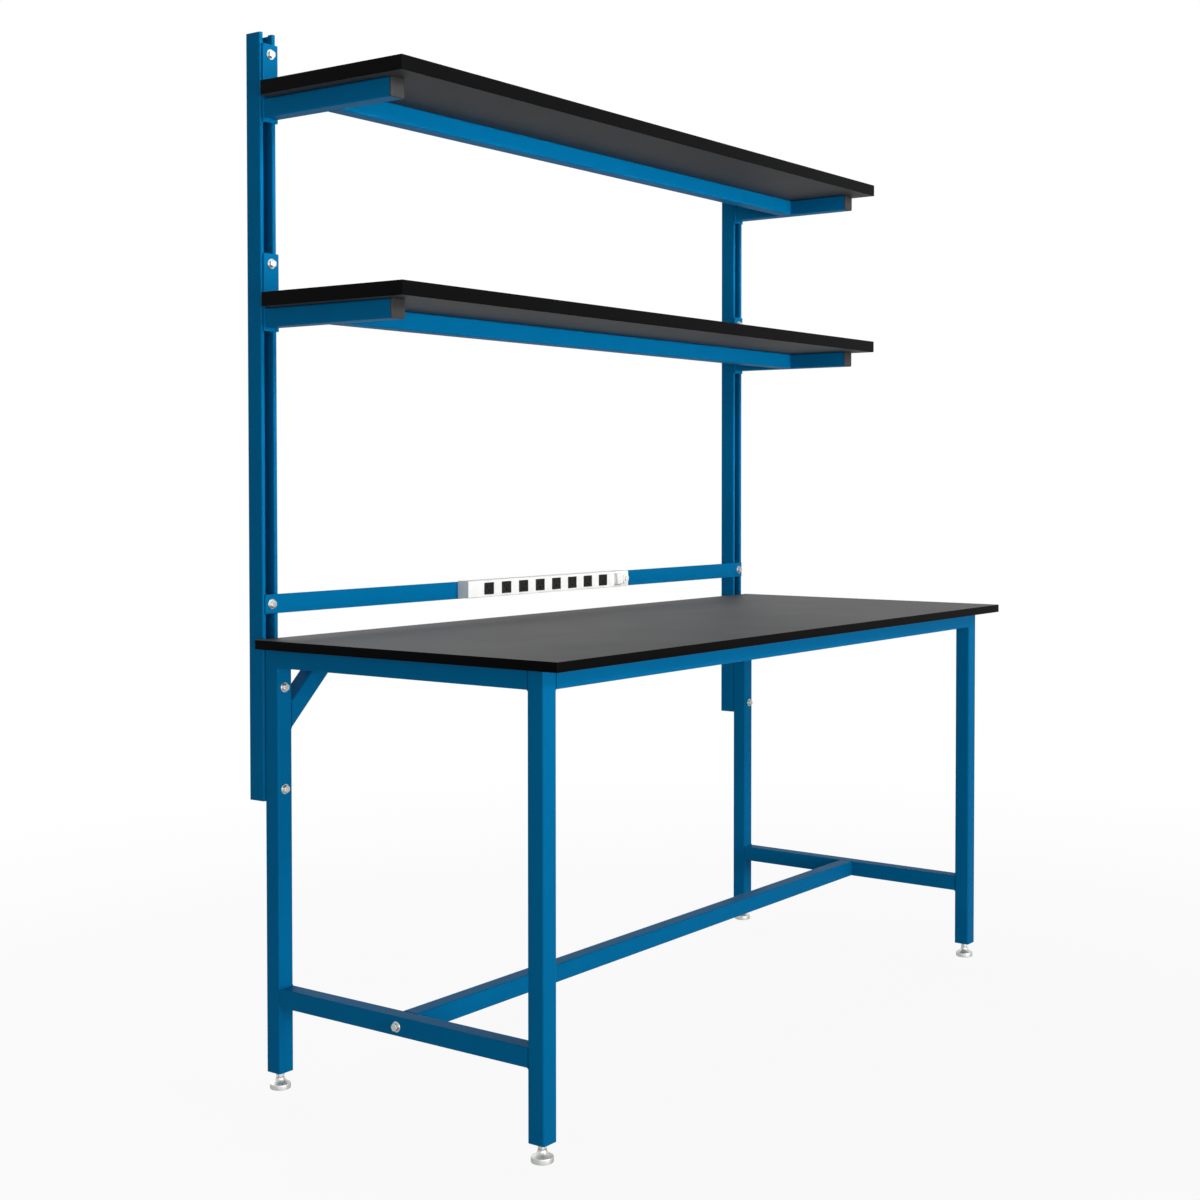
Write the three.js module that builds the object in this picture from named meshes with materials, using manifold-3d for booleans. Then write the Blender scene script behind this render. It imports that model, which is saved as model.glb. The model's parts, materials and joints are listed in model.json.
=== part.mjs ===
// Lab bench with two cantilever reagent shelves and a power strip.
// A welded square-tube frame on levelling feet carries a thin worktop. Two slotted channel
// uprights bolt behind the rear legs, and the shelves and the power rail clamp to their slots.
// Millimetres, X along the bench, front towards -Y, +Z up, origin on the floor at the middle.
import * as THREE from 'three';
import { mergeVertices } from 'three/addons/utils/BufferGeometryUtils.js';
import Module from 'manifold-3d';

const wasm = await Module();
wasm.setup();

// Fits
const SEAT_GAP = 0.2; // between pieces that butt or rest on each other
const SLIDE_GAP = 0.3; // between pieces that move past each other
const BOLT_CLEARANCE = 0.3; // all round a shank in its hole

// Worktop
const WORKTOP_LENGTH = 1829;
const WORKTOP_DEPTH = 768;
const WORKTOP_THICKNESS = 19;
const WORKTOP_HEIGHT = 909; // floor to its top face
const PANEL_CHAMFER = 1; // broken edge of the worktop and the shelf panels

// Bench frame
const TUBE = 38; // square tube, outside
const TUBE_WALL = 2;
const TUBE_RADIUS = 4; // outside corner
const LEG_INSET_SIDE = 26; // worktop end to the outer face of a leg
const LEG_INSET_FRONT = 52; // worktop front edge to the front face of a leg
const LEG_CLEARANCE = 35; // floor to the bottom of a leg
const LEG_PLATE = 6; // plate across the bottom of a leg, tapped for the foot
const LOWER_RAIL_HEIGHT = 189; // floor to the middle of the lower rails
const STRETCHER_PLATE = 6; // plate across each end of the stretcher, tapped for its bolt
const BRACE_DROP = 96; // underside of the rear rail to the brace's middle line on the leg

// Levelling feet
const PAD_DIAMETER = 42;
const PAD_RIM = 11; // height of the thick disc
const PAD_BOSS_DIAMETER = 17;
const PAD_BOSS_HEIGHT = 23; // floor to the top of the boss
const STEM_NECK_DIAMETER = 11;
const STEM_HEX = 15; // across flats
const STEM_HEX_HEIGHT = 9;
const STEM_THREAD = 12;
const STEM_THREAD_LENGTH = 55; // above the bottom of the leg

// Uprights
const UPRIGHT_WIDTH = 42;
const UPRIGHT_DEPTH = 41;
const UPRIGHT_WALL = 2.5;
const UPRIGHT_LIP = 9.5; // width of each front lip
const UPRIGHT_CURL = 12; // how far a lip turns back into the channel
const UPRIGHT_RADIUS = 3;
const UPRIGHT_INSET = 22; // worktop end to the outer face of an upright
const UPRIGHT_DROP = 327; // worktop's top face down to the bottom of an upright
const UPRIGHT_HEADROOM = 132; // upper shelf's underside up to the top of an upright

// Bolts
const BOLT_SHANK = 8;
const BOLT_WASHER = 20.5;
const BOLT_WASHER_THICKNESS = 2;
const BOLT_HEX = 14; // across flats
const BOLT_HEX_HEIGHT = 6;
const CHANNEL_NUT_WIDTH = 30;
const CHANNEL_NUT_THICKNESS = 8;
const CHANNEL_NUT_HEIGHT = 32;
const LEG_BOLT_DROPS = { lower: 300.5, upper: 96 }; // below the worktop's top face
const SCREW_SHANK = 6;
const SCREW_HEAD = 13;
const SCREW_HEAD_HEIGHT = 2.4;
const SCREW_BITE = 12; // depth of a worktop screw in the worktop
const SCREW_SPACING = 400; // between the two screws of a side rail
const SCREW_OFFSET = 6; // from a side rail's middle towards the middle of the bench

// Shelves
const SHELF_LENGTH = 1829;
const SHELF_DEPTH = 380;
const SHELF_THICKNESS = 28.5;
const SHELF_REAR_GAP = 24; // uprights' front faces to the shelf's rear edge
const LOWER_SHELF_RISE = 662; // worktop's top face to the lower shelf's underside
const SHELF_SPACING = 416; // between the undersides of the two shelves
const ARM_TUBE = 38;
const ARM_OFFSET = 2.5; // from an upright's middle to an arm's, towards the middle of the bench
const ARM_FRONT_INSET = 53; // shelf front edge to the front of an arm's plug
const CROSSBAR_FRONT_INSET = 220; // shelf front edge to the front of the crossbar
const PLATE_THICKNESS = 4;
const PLATE_WIDTH = 39.5;
const PLATE_RISE = 110; // above the shelf's underside
const PLATE_DROP = 7.5; // below the arm
const PLATE_BOLT_INSET = 20.5; // plate top to the bolt
const PLATE_RADIUS = 2;
const PLUG_FACE = 3;
const PLUG_INSERT = 14;

// Power rail and strip
const POWER_RAIL_OVERHANG = 16.5; // an upright's middle to the end of the rail
const POWER_RAIL_THICKNESS = 3;
const POWER_RAIL_WIDTH = 39;
const POWER_RAIL_RISE = 50; // worktop's top face to the rail's lower edge
const STRIP_LENGTH = 612;
const STRIP_OFFSET = -3; // middle of the bench to the strip's middle
const STRIP_LIFT = 2; // rail's middle line up to the strip's
const STRIP_DEPTH = 32;
const STRIP_WIDTH = 39;
const STRIP_WALL = 1.6;
const STRIP_RADIUS = 2;
const STRIP_CAP = 3;
const OUTLET_PITCH = 62;
const OUTLET_WIDTH = 33;
const OUTLET_HEIGHT = 27;
const OUTLET_FIRST = 71.3; // left end of the strip to the first outlet's middle
const OUTLET_TO_ROCKER = 56; // least distance from the last outlet's middle to the rocker's middle
const OUTLET_PROUD = 0.6;
const OUTLET_BAR_THICKNESS = 9;
const ROCKER_FROM_END = 47.5; // right end of the strip to the rocker's middle
const ROCKER_WIDTH = 22;
const ROCKER_HEIGHT = 29;
const ROCKER_PROUD = 10; // of the strip's front face
const ROCKER_RADIUS = 4; // of its front corners
const ROCKER_BACK = 4; // pivot to the back of the rocker
const ROCKER_PIVOT_DEPTH = 3; // pivot behind the strip's front face
const ROCKER_TILT = THREE.MathUtils.degToRad(5); // rests pressed in at the top
const BUTTON_FROM_END = 15.6; // right end of the strip to the reset button's middle
const BUTTON_DIAMETER = 12;
const BUTTON_PROUD = 8.5;
const BUTTON_DEPTH = 9; // behind the strip's front face
const BUTTON_RING_DIAMETER = 24;
const BUTTON_RING_PROUD = 5;
const INLET_FLANGE = 20;
const INLET_BODY = 14;
const INLET_BORE = 9;
const INLET_PROUD = 6;

// Facets on round shapes
const ROUND_SIDES = 20;
const HOLE_SIDES = 12;
const CORNER_STEPS = 3; // along a rounded corner
const BLEND = 0.5; // overlap of shapes that are joined into one piece
const ROUNDING = 1e-6; // slack when whole pitches are counted
const KAPPA = 0.5523; // control distance of a quarter-circle curve, as a share of its radius

// Places worked out from the sizes above
const OVERALL_DEPTH = WORKTOP_DEPTH + SEAT_GAP + UPRIGHT_DEPTH;
const WORKTOP_FRONT_Y = -OVERALL_DEPTH / 2;
const WORKTOP_REAR_Y = WORKTOP_FRONT_Y + WORKTOP_DEPTH;
const WORKTOP_UNDERSIDE = WORKTOP_HEIGHT - WORKTOP_THICKNESS;
const FRAME_TOP = WORKTOP_UNDERSIDE - SEAT_GAP;
const LEG_X = WORKTOP_LENGTH / 2 - LEG_INSET_SIDE - TUBE / 2;
const FRONT_LEG_Y = WORKTOP_FRONT_Y + LEG_INSET_FRONT + TUBE / 2;
const REAR_LEG_Y = WORKTOP_REAR_Y - TUBE / 2;
const LEG_LENGTH = FRAME_TOP - LEG_CLEARANCE;
const SIDE_RAIL_LENGTH = REAR_LEG_Y - FRONT_LEG_Y - TUBE - 2 * SEAT_GAP;
const SIDE_RAIL_Y = (FRONT_LEG_Y + REAR_LEG_Y) / 2;
const CROSS_RAIL_LENGTH = 2 * LEG_X - TUBE - 2 * SEAT_GAP;
const TOP_RAIL_Z = FRAME_TOP - TUBE / 2;
const SCREW_X = LEG_X - SCREW_OFFSET;
const UPRIGHT_X = WORKTOP_LENGTH / 2 - UPRIGHT_INSET - UPRIGHT_WIDTH / 2;
const UPRIGHT_FRONT_Y = WORKTOP_REAR_Y + SEAT_GAP;
const ARM_X = UPRIGHT_X - ARM_OFFSET;
const POWER_RAIL_LENGTH = 2 * (UPRIGHT_X + POWER_RAIL_OVERHANG);
const CHANNEL_NUT_FRONT_Y = UPRIGHT_FRONT_Y + UPRIGHT_CURL + SLIDE_GAP;
const CLAMP_FRONT_Y = UPRIGHT_FRONT_Y - SLIDE_GAP; // rear face of what clamps to the uprights
const PLATE_FRONT_Y = CLAMP_FRONT_Y - PLATE_THICKNESS;
const SHELF_REAR_Y = UPRIGHT_FRONT_Y - SHELF_REAR_GAP;
const SHELF_FRONT_Y = SHELF_REAR_Y - SHELF_DEPTH;
const ARM_FRONT_Y = SHELF_FRONT_Y + ARM_FRONT_INSET + PLUG_FACE + SEAT_GAP;
const STRIP_REAR_Y = CLAMP_FRONT_Y - POWER_RAIL_THICKNESS - SEAT_GAP;
const STRIP_FRONT_Y = STRIP_REAR_Y - STRIP_DEPTH;
const STRIP_BODY_LENGTH = STRIP_LENGTH - 2 * (STRIP_CAP + SEAT_GAP);
const OUTLET_SPAN = STRIP_LENGTH - OUTLET_FIRST - OUTLET_TO_ROCKER - ROCKER_FROM_END;
const OUTLET_COUNT = 1 + Math.floor(OUTLET_SPAN / OUTLET_PITCH + ROUNDING); // as many as fit
const ROCKER_X = STRIP_LENGTH / 2 - ROCKER_FROM_END;
const BUTTON_X = STRIP_LENGTH / 2 - BUTTON_FROM_END;
const POWER_RAIL_Z = WORKTOP_HEIGHT + POWER_RAIL_RISE + POWER_RAIL_WIDTH / 2;
const STRIP_Z = POWER_RAIL_Z + STRIP_LIFT;
const LOWER_SHELF_Z = WORKTOP_HEIGHT + LOWER_SHELF_RISE;
const UPPER_SHELF_Z = LOWER_SHELF_Z + SHELF_SPACING;
const UPRIGHT_BOTTOM = WORKTOP_HEIGHT - UPRIGHT_DROP;
const UPRIGHT_TOP = UPPER_SHELF_Z + UPRIGHT_HEADROOM;
const SHANK_HOLE = BOLT_SHANK + 2 * BOLT_CLEARANCE;
const SCREW_HOLE = SCREW_SHANK + 2 * BOLT_CLEARANCE;

// Finishes
function finish(color, roughness, metalness) {
  return new THREE.MeshStandardMaterial({ color, roughness, metalness });
}

const BLUE_POWDER_COAT = finish('#00689b', 0.45, 0);
const BLACK_LAMINATE = finish('#1c1b1b', 0.4, 0);
const ZINC = finish('#c9c9c6', 0.3, 0.9);
const GREY_PLUG = finish('#434343', 0.6, 0);
const WHITE_ALUMINIUM = finish('#f4f4f4', 0.4, 0);
const WHITE_PLASTIC = finish('#f2f2f0', 0.5, 0);
const BLACK_SOCKET = finish('#242424', 0.5, 0);

const bench = new THREE.Group();

function addPiece(name, geometry, material, x, y, z) {
  const mesh = new THREE.Mesh(geometry, material);
  mesh.name = name;
  mesh.position.set(x, y, z);
  bench.add(mesh);
  return mesh;
}

// Joining and cutting

function solidOf(geometry) {
  const bare = geometry.clone();
  bare.deleteAttribute('normal');
  bare.deleteAttribute('uv');
  const merged = mergeVertices(bare, 1e-4);
  return new wasm.Manifold(new wasm.Mesh({
    numProp: 3,
    vertProperties: new Float32Array(merged.attributes.position.array),
    triVerts: new Uint32Array(merged.index.array),
  }));
}

function geometryOf(solid) {
  const mesh = solid.getMesh();
  const geometry = new THREE.BufferGeometry();
  geometry.setAttribute('position', new THREE.BufferAttribute(mesh.vertProperties, 3));
  geometry.setIndex(new THREE.BufferAttribute(mesh.triVerts, 1));
  geometry.computeVertexNormals();
  return geometry;
}

function join(...shapes) {
  return geometryOf(shapes.map(solidOf).reduce((whole, piece) => whole.add(piece)));
}

function cut(geometry, ...cutters) {
  const whole = solidOf(geometry);
  return geometryOf(cutters.map(solidOf).reduce((rest, cutter) => rest.subtract(cutter), whole));
}

// Basic shapes

// Turns a shape built along Z so that it runs along the named axis.
function along(axis, geometry) {
  if (axis === 'x') geometry.rotateY(Math.PI / 2);
  if (axis === 'y') geometry.rotateX(-Math.PI / 2);
  return geometry;
}

function box(sizeX, sizeY, sizeZ, x = 0, y = 0, z = 0) {
  return new THREE.BoxGeometry(sizeX, sizeY, sizeZ).translate(x, y, z);
}

function rod(axis, diameter, length, x = 0, y = 0, z = 0, sides = HOLE_SIDES) {
  const radius = diameter / 2;
  const cylinder = new THREE.CylinderGeometry(radius, radius, length, sides).rotateX(Math.PI / 2);
  return along(axis, cylinder).translate(x, y, z);
}

// Cutter for a round hole: its flats stand at the radius, so a rod of that radius would just fit.
function hole(axis, diameter, length, x = 0, y = 0, z = 0) {
  return rod(axis, diameter / Math.cos(Math.PI / HOLE_SIDES), length, x, y, z);
}

function hexPrism(axis, acrossFlats, length, x, y, z) {
  return rod(axis, acrossFlats / Math.cos(Math.PI / 6), length, x, y, z, 6);
}

// Outline from corner points, each square or rounded by its own radius; corners are right angles.
function outline(corners, Kind = THREE.Shape) {
  const shape = new Kind();
  corners.forEach(([x, y, radius = 0], index) => {
    const before = corners[(index + corners.length - 1) % corners.length];
    const after = corners[(index + 1) % corners.length];
    const corner = new THREE.Vector2(x, y);
    const inward = new THREE.Vector2(before[0] - x, before[1] - y).normalize();
    const onward = new THREE.Vector2(after[0] - x, after[1] - y).normalize();
    const start = corner.clone().addScaledVector(inward, radius);
    const end = corner.clone().addScaledVector(onward, radius);
    if (index === 0) shape.moveTo(start.x, start.y);
    else shape.lineTo(start.x, start.y);
    if (radius > 0) {
      const reach = radius * (1 - KAPPA);
      const first = corner.clone().addScaledVector(inward, reach);
      const second = corner.clone().addScaledVector(onward, reach);
      shape.bezierCurveTo(first.x, first.y, second.x, second.y, end.x, end.y);
    }
  });
  shape.closePath();
  return shape;
}

function rectangle(width, height, radius, Kind) {
  const x = width / 2;
  const y = height / 2;
  return outline([[-x, -y, radius], [x, -y, radius], [x, y, radius], [-x, y, radius]], Kind);
}

// Straight extrusion along Z, centred on its length.
function extrude(shape, length) {
  const options = { depth: length, bevelEnabled: false, curveSegments: CORNER_STEPS };
  return new THREE.ExtrudeGeometry(shape, options).translate(0, 0, -length / 2);
}

function hollowTube(axis, width, height, wall, radius, length) {
  const section = rectangle(width, height, radius);
  const innerRadius = Math.max(radius - wall, 0);
  section.holes.push(rectangle(width - 2 * wall, height - 2 * wall, innerRadius, THREE.Path));
  return along(axis, extrude(section, length));
}

function frameTube(axis, length) {
  return hollowTube(axis, TUBE, TUBE, TUBE_WALL, TUBE_RADIUS, length);
}

// Flat panel with broken edges, centred on its thickness.
function panel(length, depth, thickness) {
  const shape = rectangle(length - 2 * PANEL_CHAMFER, depth - 2 * PANEL_CHAMFER, 0);
  const options = {
    depth: thickness - 2 * PANEL_CHAMFER,
    bevelThickness: PANEL_CHAMFER,
    bevelSize: PANEL_CHAMFER,
    bevelSegments: 1,
  };
  return new THREE.ExtrudeGeometry(shape, options).translate(0, 0, PANEL_CHAMFER - thickness / 2);
}

const SIDES = [['left', -1], ['right', 1]];

// Legs

function legGeometry(boltHeights, boltX) {
  const plateSide = TUBE - TUBE_WALL;
  const plate = extrude(rectangle(plateSide, plateSide, TUBE_RADIUS - TUBE_WALL / 2), LEG_PLATE);
  plate.translate(0, 0, (LEG_PLATE - LEG_LENGTH) / 2);
  const stemHole = hole('z', STEM_THREAD + 2 * SLIDE_GAP, 3 * LEG_PLATE, 0, 0, -LEG_LENGTH / 2);
  const middle = LEG_CLEARANCE + LEG_LENGTH / 2;
  const boltHoles = boltHeights.map((height) => hole('y', SHANK_HOLE, 2 * TUBE, boltX, 0, height - middle));
  return cut(join(frameTube('z', LEG_LENGTH), plate), stemHole, ...boltHoles);
}

for (const [side, sign] of SIDES) {
  const z = LEG_CLEARANCE + LEG_LENGTH / 2;
  const heights = Object.values(LEG_BOLT_DROPS).map((drop) => WORKTOP_HEIGHT - drop);
  const frontLeg = legGeometry([], 0);
  const rearLeg = legGeometry(heights, sign * (UPRIGHT_X - LEG_X));
  addPiece(`leg_front_${side}`, frontLeg, BLUE_POWDER_COAT, sign * LEG_X, FRONT_LEG_Y, z);
  addPiece(`leg_rear_${side}`, rearLeg, BLUE_POWDER_COAT, sign * LEG_X, REAR_LEG_Y, z);
}

// Rails between the legs

function sideTopRail(sign) {
  const x = -sign * SCREW_OFFSET;
  const screwHoles = [-1, 1].map((end) => hole('z', SCREW_HOLE, 2 * TUBE, x, end * SCREW_SPACING / 2, 0));
  return cut(frameTube('y', SIDE_RAIL_LENGTH), ...screwHoles);
}

function sideLowerRail() {
  return cut(frameTube('y', SIDE_RAIL_LENGTH), hole('x', SHANK_HOLE, 2 * TUBE));
}

for (const [side, sign] of SIDES) {
  const x = sign * LEG_X;
  addPiece(`side_top_rail_${side}`, sideTopRail(sign), BLUE_POWDER_COAT, x, SIDE_RAIL_Y, TOP_RAIL_Z);
  addPiece(`side_lower_rail_${side}`, sideLowerRail(), BLUE_POWDER_COAT, x, SIDE_RAIL_Y, LOWER_RAIL_HEIGHT);
}
addPiece('front_top_rail', frameTube('x', CROSS_RAIL_LENGTH), BLUE_POWDER_COAT, 0, FRONT_LEG_Y, TOP_RAIL_Z);
addPiece('rear_top_rail', frameTube('x', CROSS_RAIL_LENGTH), BLUE_POWDER_COAT, 0, REAR_LEG_Y, TOP_RAIL_Z);

// Centre stretcher between the lower side rails, with a tapped plate across each end

function stretcherGeometry() {
  const plateSide = TUBE - TUBE_WALL;
  const plates = [-1, 1].map((end) => {
    const plate = extrude(rectangle(plateSide, plateSide, TUBE_RADIUS - TUBE_WALL / 2), STRETCHER_PLATE);
    return along('x', plate).translate(end * (CROSS_RAIL_LENGTH - STRETCHER_PLATE) / 2, 0, 0);
  });
  const boltHole = hole('x', SHANK_HOLE, 2 * CROSS_RAIL_LENGTH);
  return cut(join(frameTube('x', CROSS_RAIL_LENGTH), ...plates), boltHole);
}

addPiece('centre_stretcher', stretcherGeometry(), BLUE_POWDER_COAT, 0, SIDE_RAIL_Y, LOWER_RAIL_HEIGHT);

// Corner braces under the rear rail, cut to fit the leg and the rail

function braceGeometry(sign) {
  const legFace = LEG_X - TUBE / 2 - SEAT_GAP;
  const railFace = TOP_RAIL_Z - TUBE / 2 - SEAT_GAP;
  const reach = 4 * BRACE_DROP;
  const tube = frameTube('z', reach);
  tube.rotateY(-sign * Math.PI / 4);
  tube.translate(sign * (legFace - BRACE_DROP / 2), 0, railFace - BRACE_DROP / 2);
  const corner = box(reach, 2 * TUBE, reach, sign * (legFace - reach / 2), 0, railFace - reach / 2);
  return geometryOf(solidOf(tube).intersect(solidOf(corner)));
}

for (const [side, sign] of SIDES) {
  addPiece(`corner_brace_${side}`, braceGeometry(sign), BLUE_POWDER_COAT, 0, REAR_LEG_Y, 0);
}

// Worktop and the screws that hold it down to the side rails

function worktopGeometry() {
  const depth = SCREW_BITE + SEAT_GAP + BOLT_CLEARANCE;
  const holes = [];
  for (const [, sign] of SIDES) {
    for (const end of [-1, 1]) {
      const y = SIDE_RAIL_Y + end * SCREW_SPACING / 2 - (WORKTOP_FRONT_Y + WORKTOP_REAR_Y) / 2;
      holes.push(hole('z', SCREW_HOLE, 2 * depth, sign * SCREW_X, y, -WORKTOP_THICKNESS / 2));
    }
  }
  return cut(panel(WORKTOP_LENGTH, WORKTOP_DEPTH, WORKTOP_THICKNESS), ...holes);
}

function worktopScrew() {
  const length = SCREW_BITE + SEAT_GAP + TUBE + SEAT_GAP;
  const shank = rod('z', SCREW_SHANK, length + BLEND, 0, 0, (length - BLEND) / 2);
  return join(shank, rod('z', SCREW_HEAD, SCREW_HEAD_HEIGHT, 0, 0, -SCREW_HEAD_HEIGHT / 2, ROUND_SIDES));
}

const worktopY = (WORKTOP_FRONT_Y + WORKTOP_REAR_Y) / 2;
addPiece('worktop', worktopGeometry(), BLACK_LAMINATE, 0, worktopY, WORKTOP_HEIGHT - WORKTOP_THICKNESS / 2);
for (const [side, sign] of SIDES) {
  for (const [place, end] of [['front', -1], ['rear', 1]]) {
    const y = SIDE_RAIL_Y + end * SCREW_SPACING / 2;
    const seat = FRAME_TOP - TUBE - SEAT_GAP;
    addPiece(`worktop_screw_${place}_${side}`, worktopScrew(), ZINC, sign * SCREW_X, y, seat);
  }
}

// Levelling feet: a pad that stands on the floor and a threaded stem that turns in it

function padGeometry() {
  const rim = PAD_DIAMETER / 2;
  const ease = PAD_RIM / 6;
  const boss = PAD_BOSS_DIAMETER / 2;
  const flare = PAD_BOSS_HEIGHT - PAD_RIM;
  const profile = [[0, 0], [rim - ease, 0], [rim, ease], [rim, PAD_RIM - ease], [rim - ease, PAD_RIM]];
  profile.push([boss + (rim - boss) / 2, PAD_RIM + flare / 4]);
  profile.push([boss + (rim - boss) / 5, PAD_RIM + flare / 2]);
  profile.push([boss, PAD_BOSS_HEIGHT], [0, PAD_BOSS_HEIGHT]);
  const points = profile.map(([radius, height]) => new THREE.Vector2(radius, height));
  return new THREE.LatheGeometry(points, ROUND_SIDES).rotateX(Math.PI / 2);
}

function stemGeometry() {
  const bottom = PAD_BOSS_HEIGHT + SLIDE_GAP;
  const shoulder = LEG_CLEARANCE - SLIDE_GAP;
  const hexBottom = shoulder - STEM_HEX_HEIGHT;
  const neckTop = hexBottom + BLEND;
  const neck = rod('z', STEM_NECK_DIAMETER, neckTop - bottom, 0, 0, (neckTop + bottom) / 2, ROUND_SIDES);
  const hex = hexPrism('z', STEM_HEX, STEM_HEX_HEIGHT, 0, 0, shoulder - STEM_HEX_HEIGHT / 2);
  const threadTop = LEG_CLEARANCE + STEM_THREAD_LENGTH;
  const threadBottom = shoulder - BLEND;
  const thread = rod('z', STEM_THREAD, threadTop - threadBottom, 0, 0, (threadTop + threadBottom) / 2);
  return join(neck, hex, thread);
}

for (const [side, sign] of SIDES) {
  for (const [place, y] of [['front', FRONT_LEG_Y], ['rear', REAR_LEG_Y]]) {
    addPiece(`foot_pad_${place}_${side}`, padGeometry(), ZINC, sign * LEG_X, y, 0);
    addPiece(`foot_stem_${place}_${side}`, stemGeometry(), ZINC, sign * LEG_X, y, 0);
  }
}

// Uprights: lipped channels with the slot to the front

function uprightGeometry(length) {
  const side = UPRIGHT_WIDTH / 2;
  const lip = side - UPRIGHT_LIP;
  const curl = UPRIGHT_DEPTH - UPRIGHT_CURL;
  const front = UPRIGHT_DEPTH;
  const wall = UPRIGHT_WALL;
  const half = [
    [side, 0, UPRIGHT_RADIUS],
    [side, front, UPRIGHT_RADIUS],
    [lip, front, UPRIGHT_RADIUS],
    [lip, curl],
    [lip + wall, curl],
    [lip + wall, front - wall],
    [side - wall, front - wall],
    [side - wall, wall],
  ];
  const mirrored = half.map(([x, y, radius]) => [-x, y, radius]).reverse();
  const section = extrude(outline([...half, ...mirrored]), length);
  return section.rotateZ(Math.PI).translate(0, UPRIGHT_DEPTH, 0);
}

for (const [side, sign] of SIDES) {
  const length = UPRIGHT_TOP - UPRIGHT_BOTTOM;
  const z = (UPRIGHT_TOP + UPRIGHT_BOTTOM) / 2;
  const channel = uprightGeometry(length);
  addPiece(`upright_${side}`, channel, BLUE_POWDER_COAT, sign * UPRIGHT_X, UPRIGHT_FRONT_Y, z);
}

// Bolts, built from the seat under the washer along the named axis

// Hexagon bolt on a washer; the shank runs towards positive, the head stands towards negative.
function boltShapes(axis, shankLength) {
  const place = (offset) => (axis === 'x' ? [offset, 0, 0] : [0, offset, 0]);
  const headLength = BOLT_HEX_HEIGHT + BLEND;
  const headMiddle = BLEND / 2 - BOLT_WASHER_THICKNESS - BOLT_HEX_HEIGHT / 2;
  return [
    rod(axis, BOLT_WASHER, BOLT_WASHER_THICKNESS, ...place(-BOLT_WASHER_THICKNESS / 2), ROUND_SIDES),
    hexPrism(axis, BOLT_HEX, headLength, ...place(headMiddle)),
    rod(axis, BOLT_SHANK, shankLength + BLEND, ...place((shankLength - BLEND) / 2)),
  ];
}

// Bolt with its channel nut run on, clamped behind the lips of an upright; nutX centres the nut there.
function channelBolt(grip, nutX = 0) {
  const nutMiddle = grip + CHANNEL_NUT_THICKNESS / 2;
  const nut = box(CHANNEL_NUT_WIDTH, CHANNEL_NUT_THICKNESS, CHANNEL_NUT_HEIGHT, nutX, nutMiddle, 0);
  return join(...boltShapes('y', grip + CHANNEL_NUT_THICKNESS + BLEND), nut);
}

for (const [side, sign] of SIDES) {
  const legFront = REAR_LEG_Y - TUBE / 2 - SEAT_GAP;
  for (const [place, drop] of Object.entries(LEG_BOLT_DROPS)) {
    const bolt = channelBolt(CHANNEL_NUT_FRONT_Y - legFront);
    addPiece(`upright_bolt_${place}_${side}`, bolt, ZINC, sign * UPRIGHT_X, legFront, WORKTOP_HEIGHT - drop);
  }
}

for (const [side, sign] of SIDES) {
  const bolt = join(...boltShapes('x', TUBE + 2 * SEAT_GAP + 3 * STRETCHER_PLATE));
  if (sign > 0) bolt.rotateZ(Math.PI);
  const x = sign * (LEG_X + TUBE / 2 + SEAT_GAP);
  addPiece(`stretcher_bolt_${side}`, bolt, ZINC, x, SIDE_RAIL_Y, LOWER_RAIL_HEIGHT);
}

// Shelves: a panel on two welded brackets with a crossbar between their arms

// Arm and back plate welded together; origin on the plate's front face at the panel's underside.
function bracketGeometry() {
  const armLength = PLATE_FRONT_Y - ARM_FRONT_Y;
  const arm = hollowTube('y', ARM_TUBE, ARM_TUBE, TUBE_WALL, TUBE_RADIUS, armLength + BLEND);
  arm.translate(0, (BLEND - armLength) / 2, -ARM_TUBE / 2 - SEAT_GAP);
  const bottom = -SEAT_GAP - ARM_TUBE - PLATE_DROP;
  const plateShape = rectangle(PLATE_WIDTH, PLATE_RISE - bottom, PLATE_RADIUS);
  const plate = along('y', extrude(plateShape, PLATE_THICKNESS));
  plate.translate(0, PLATE_THICKNESS / 2, (PLATE_RISE + bottom) / 2);
  const boltHole = hole('y', SHANK_HOLE, 4 * PLATE_THICKNESS, 0, 0, PLATE_RISE - PLATE_BOLT_INSET);
  return cut(join(arm, plate), boltHole);
}

function plugGeometry() {
  const face = along('y', extrude(rectangle(ARM_TUBE, ARM_TUBE, TUBE_RADIUS), PLUG_FACE));
  const side = ARM_TUBE - 2 * TUBE_WALL - 2 * SLIDE_GAP;
  const insert = along('y', extrude(rectangle(side, side, TUBE_RADIUS - TUBE_WALL), PLUG_INSERT + BLEND));
  return join(face.translate(0, -PLUG_FACE / 2, 0), insert.translate(0, (PLUG_INSERT - BLEND) / 2, 0));
}

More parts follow.
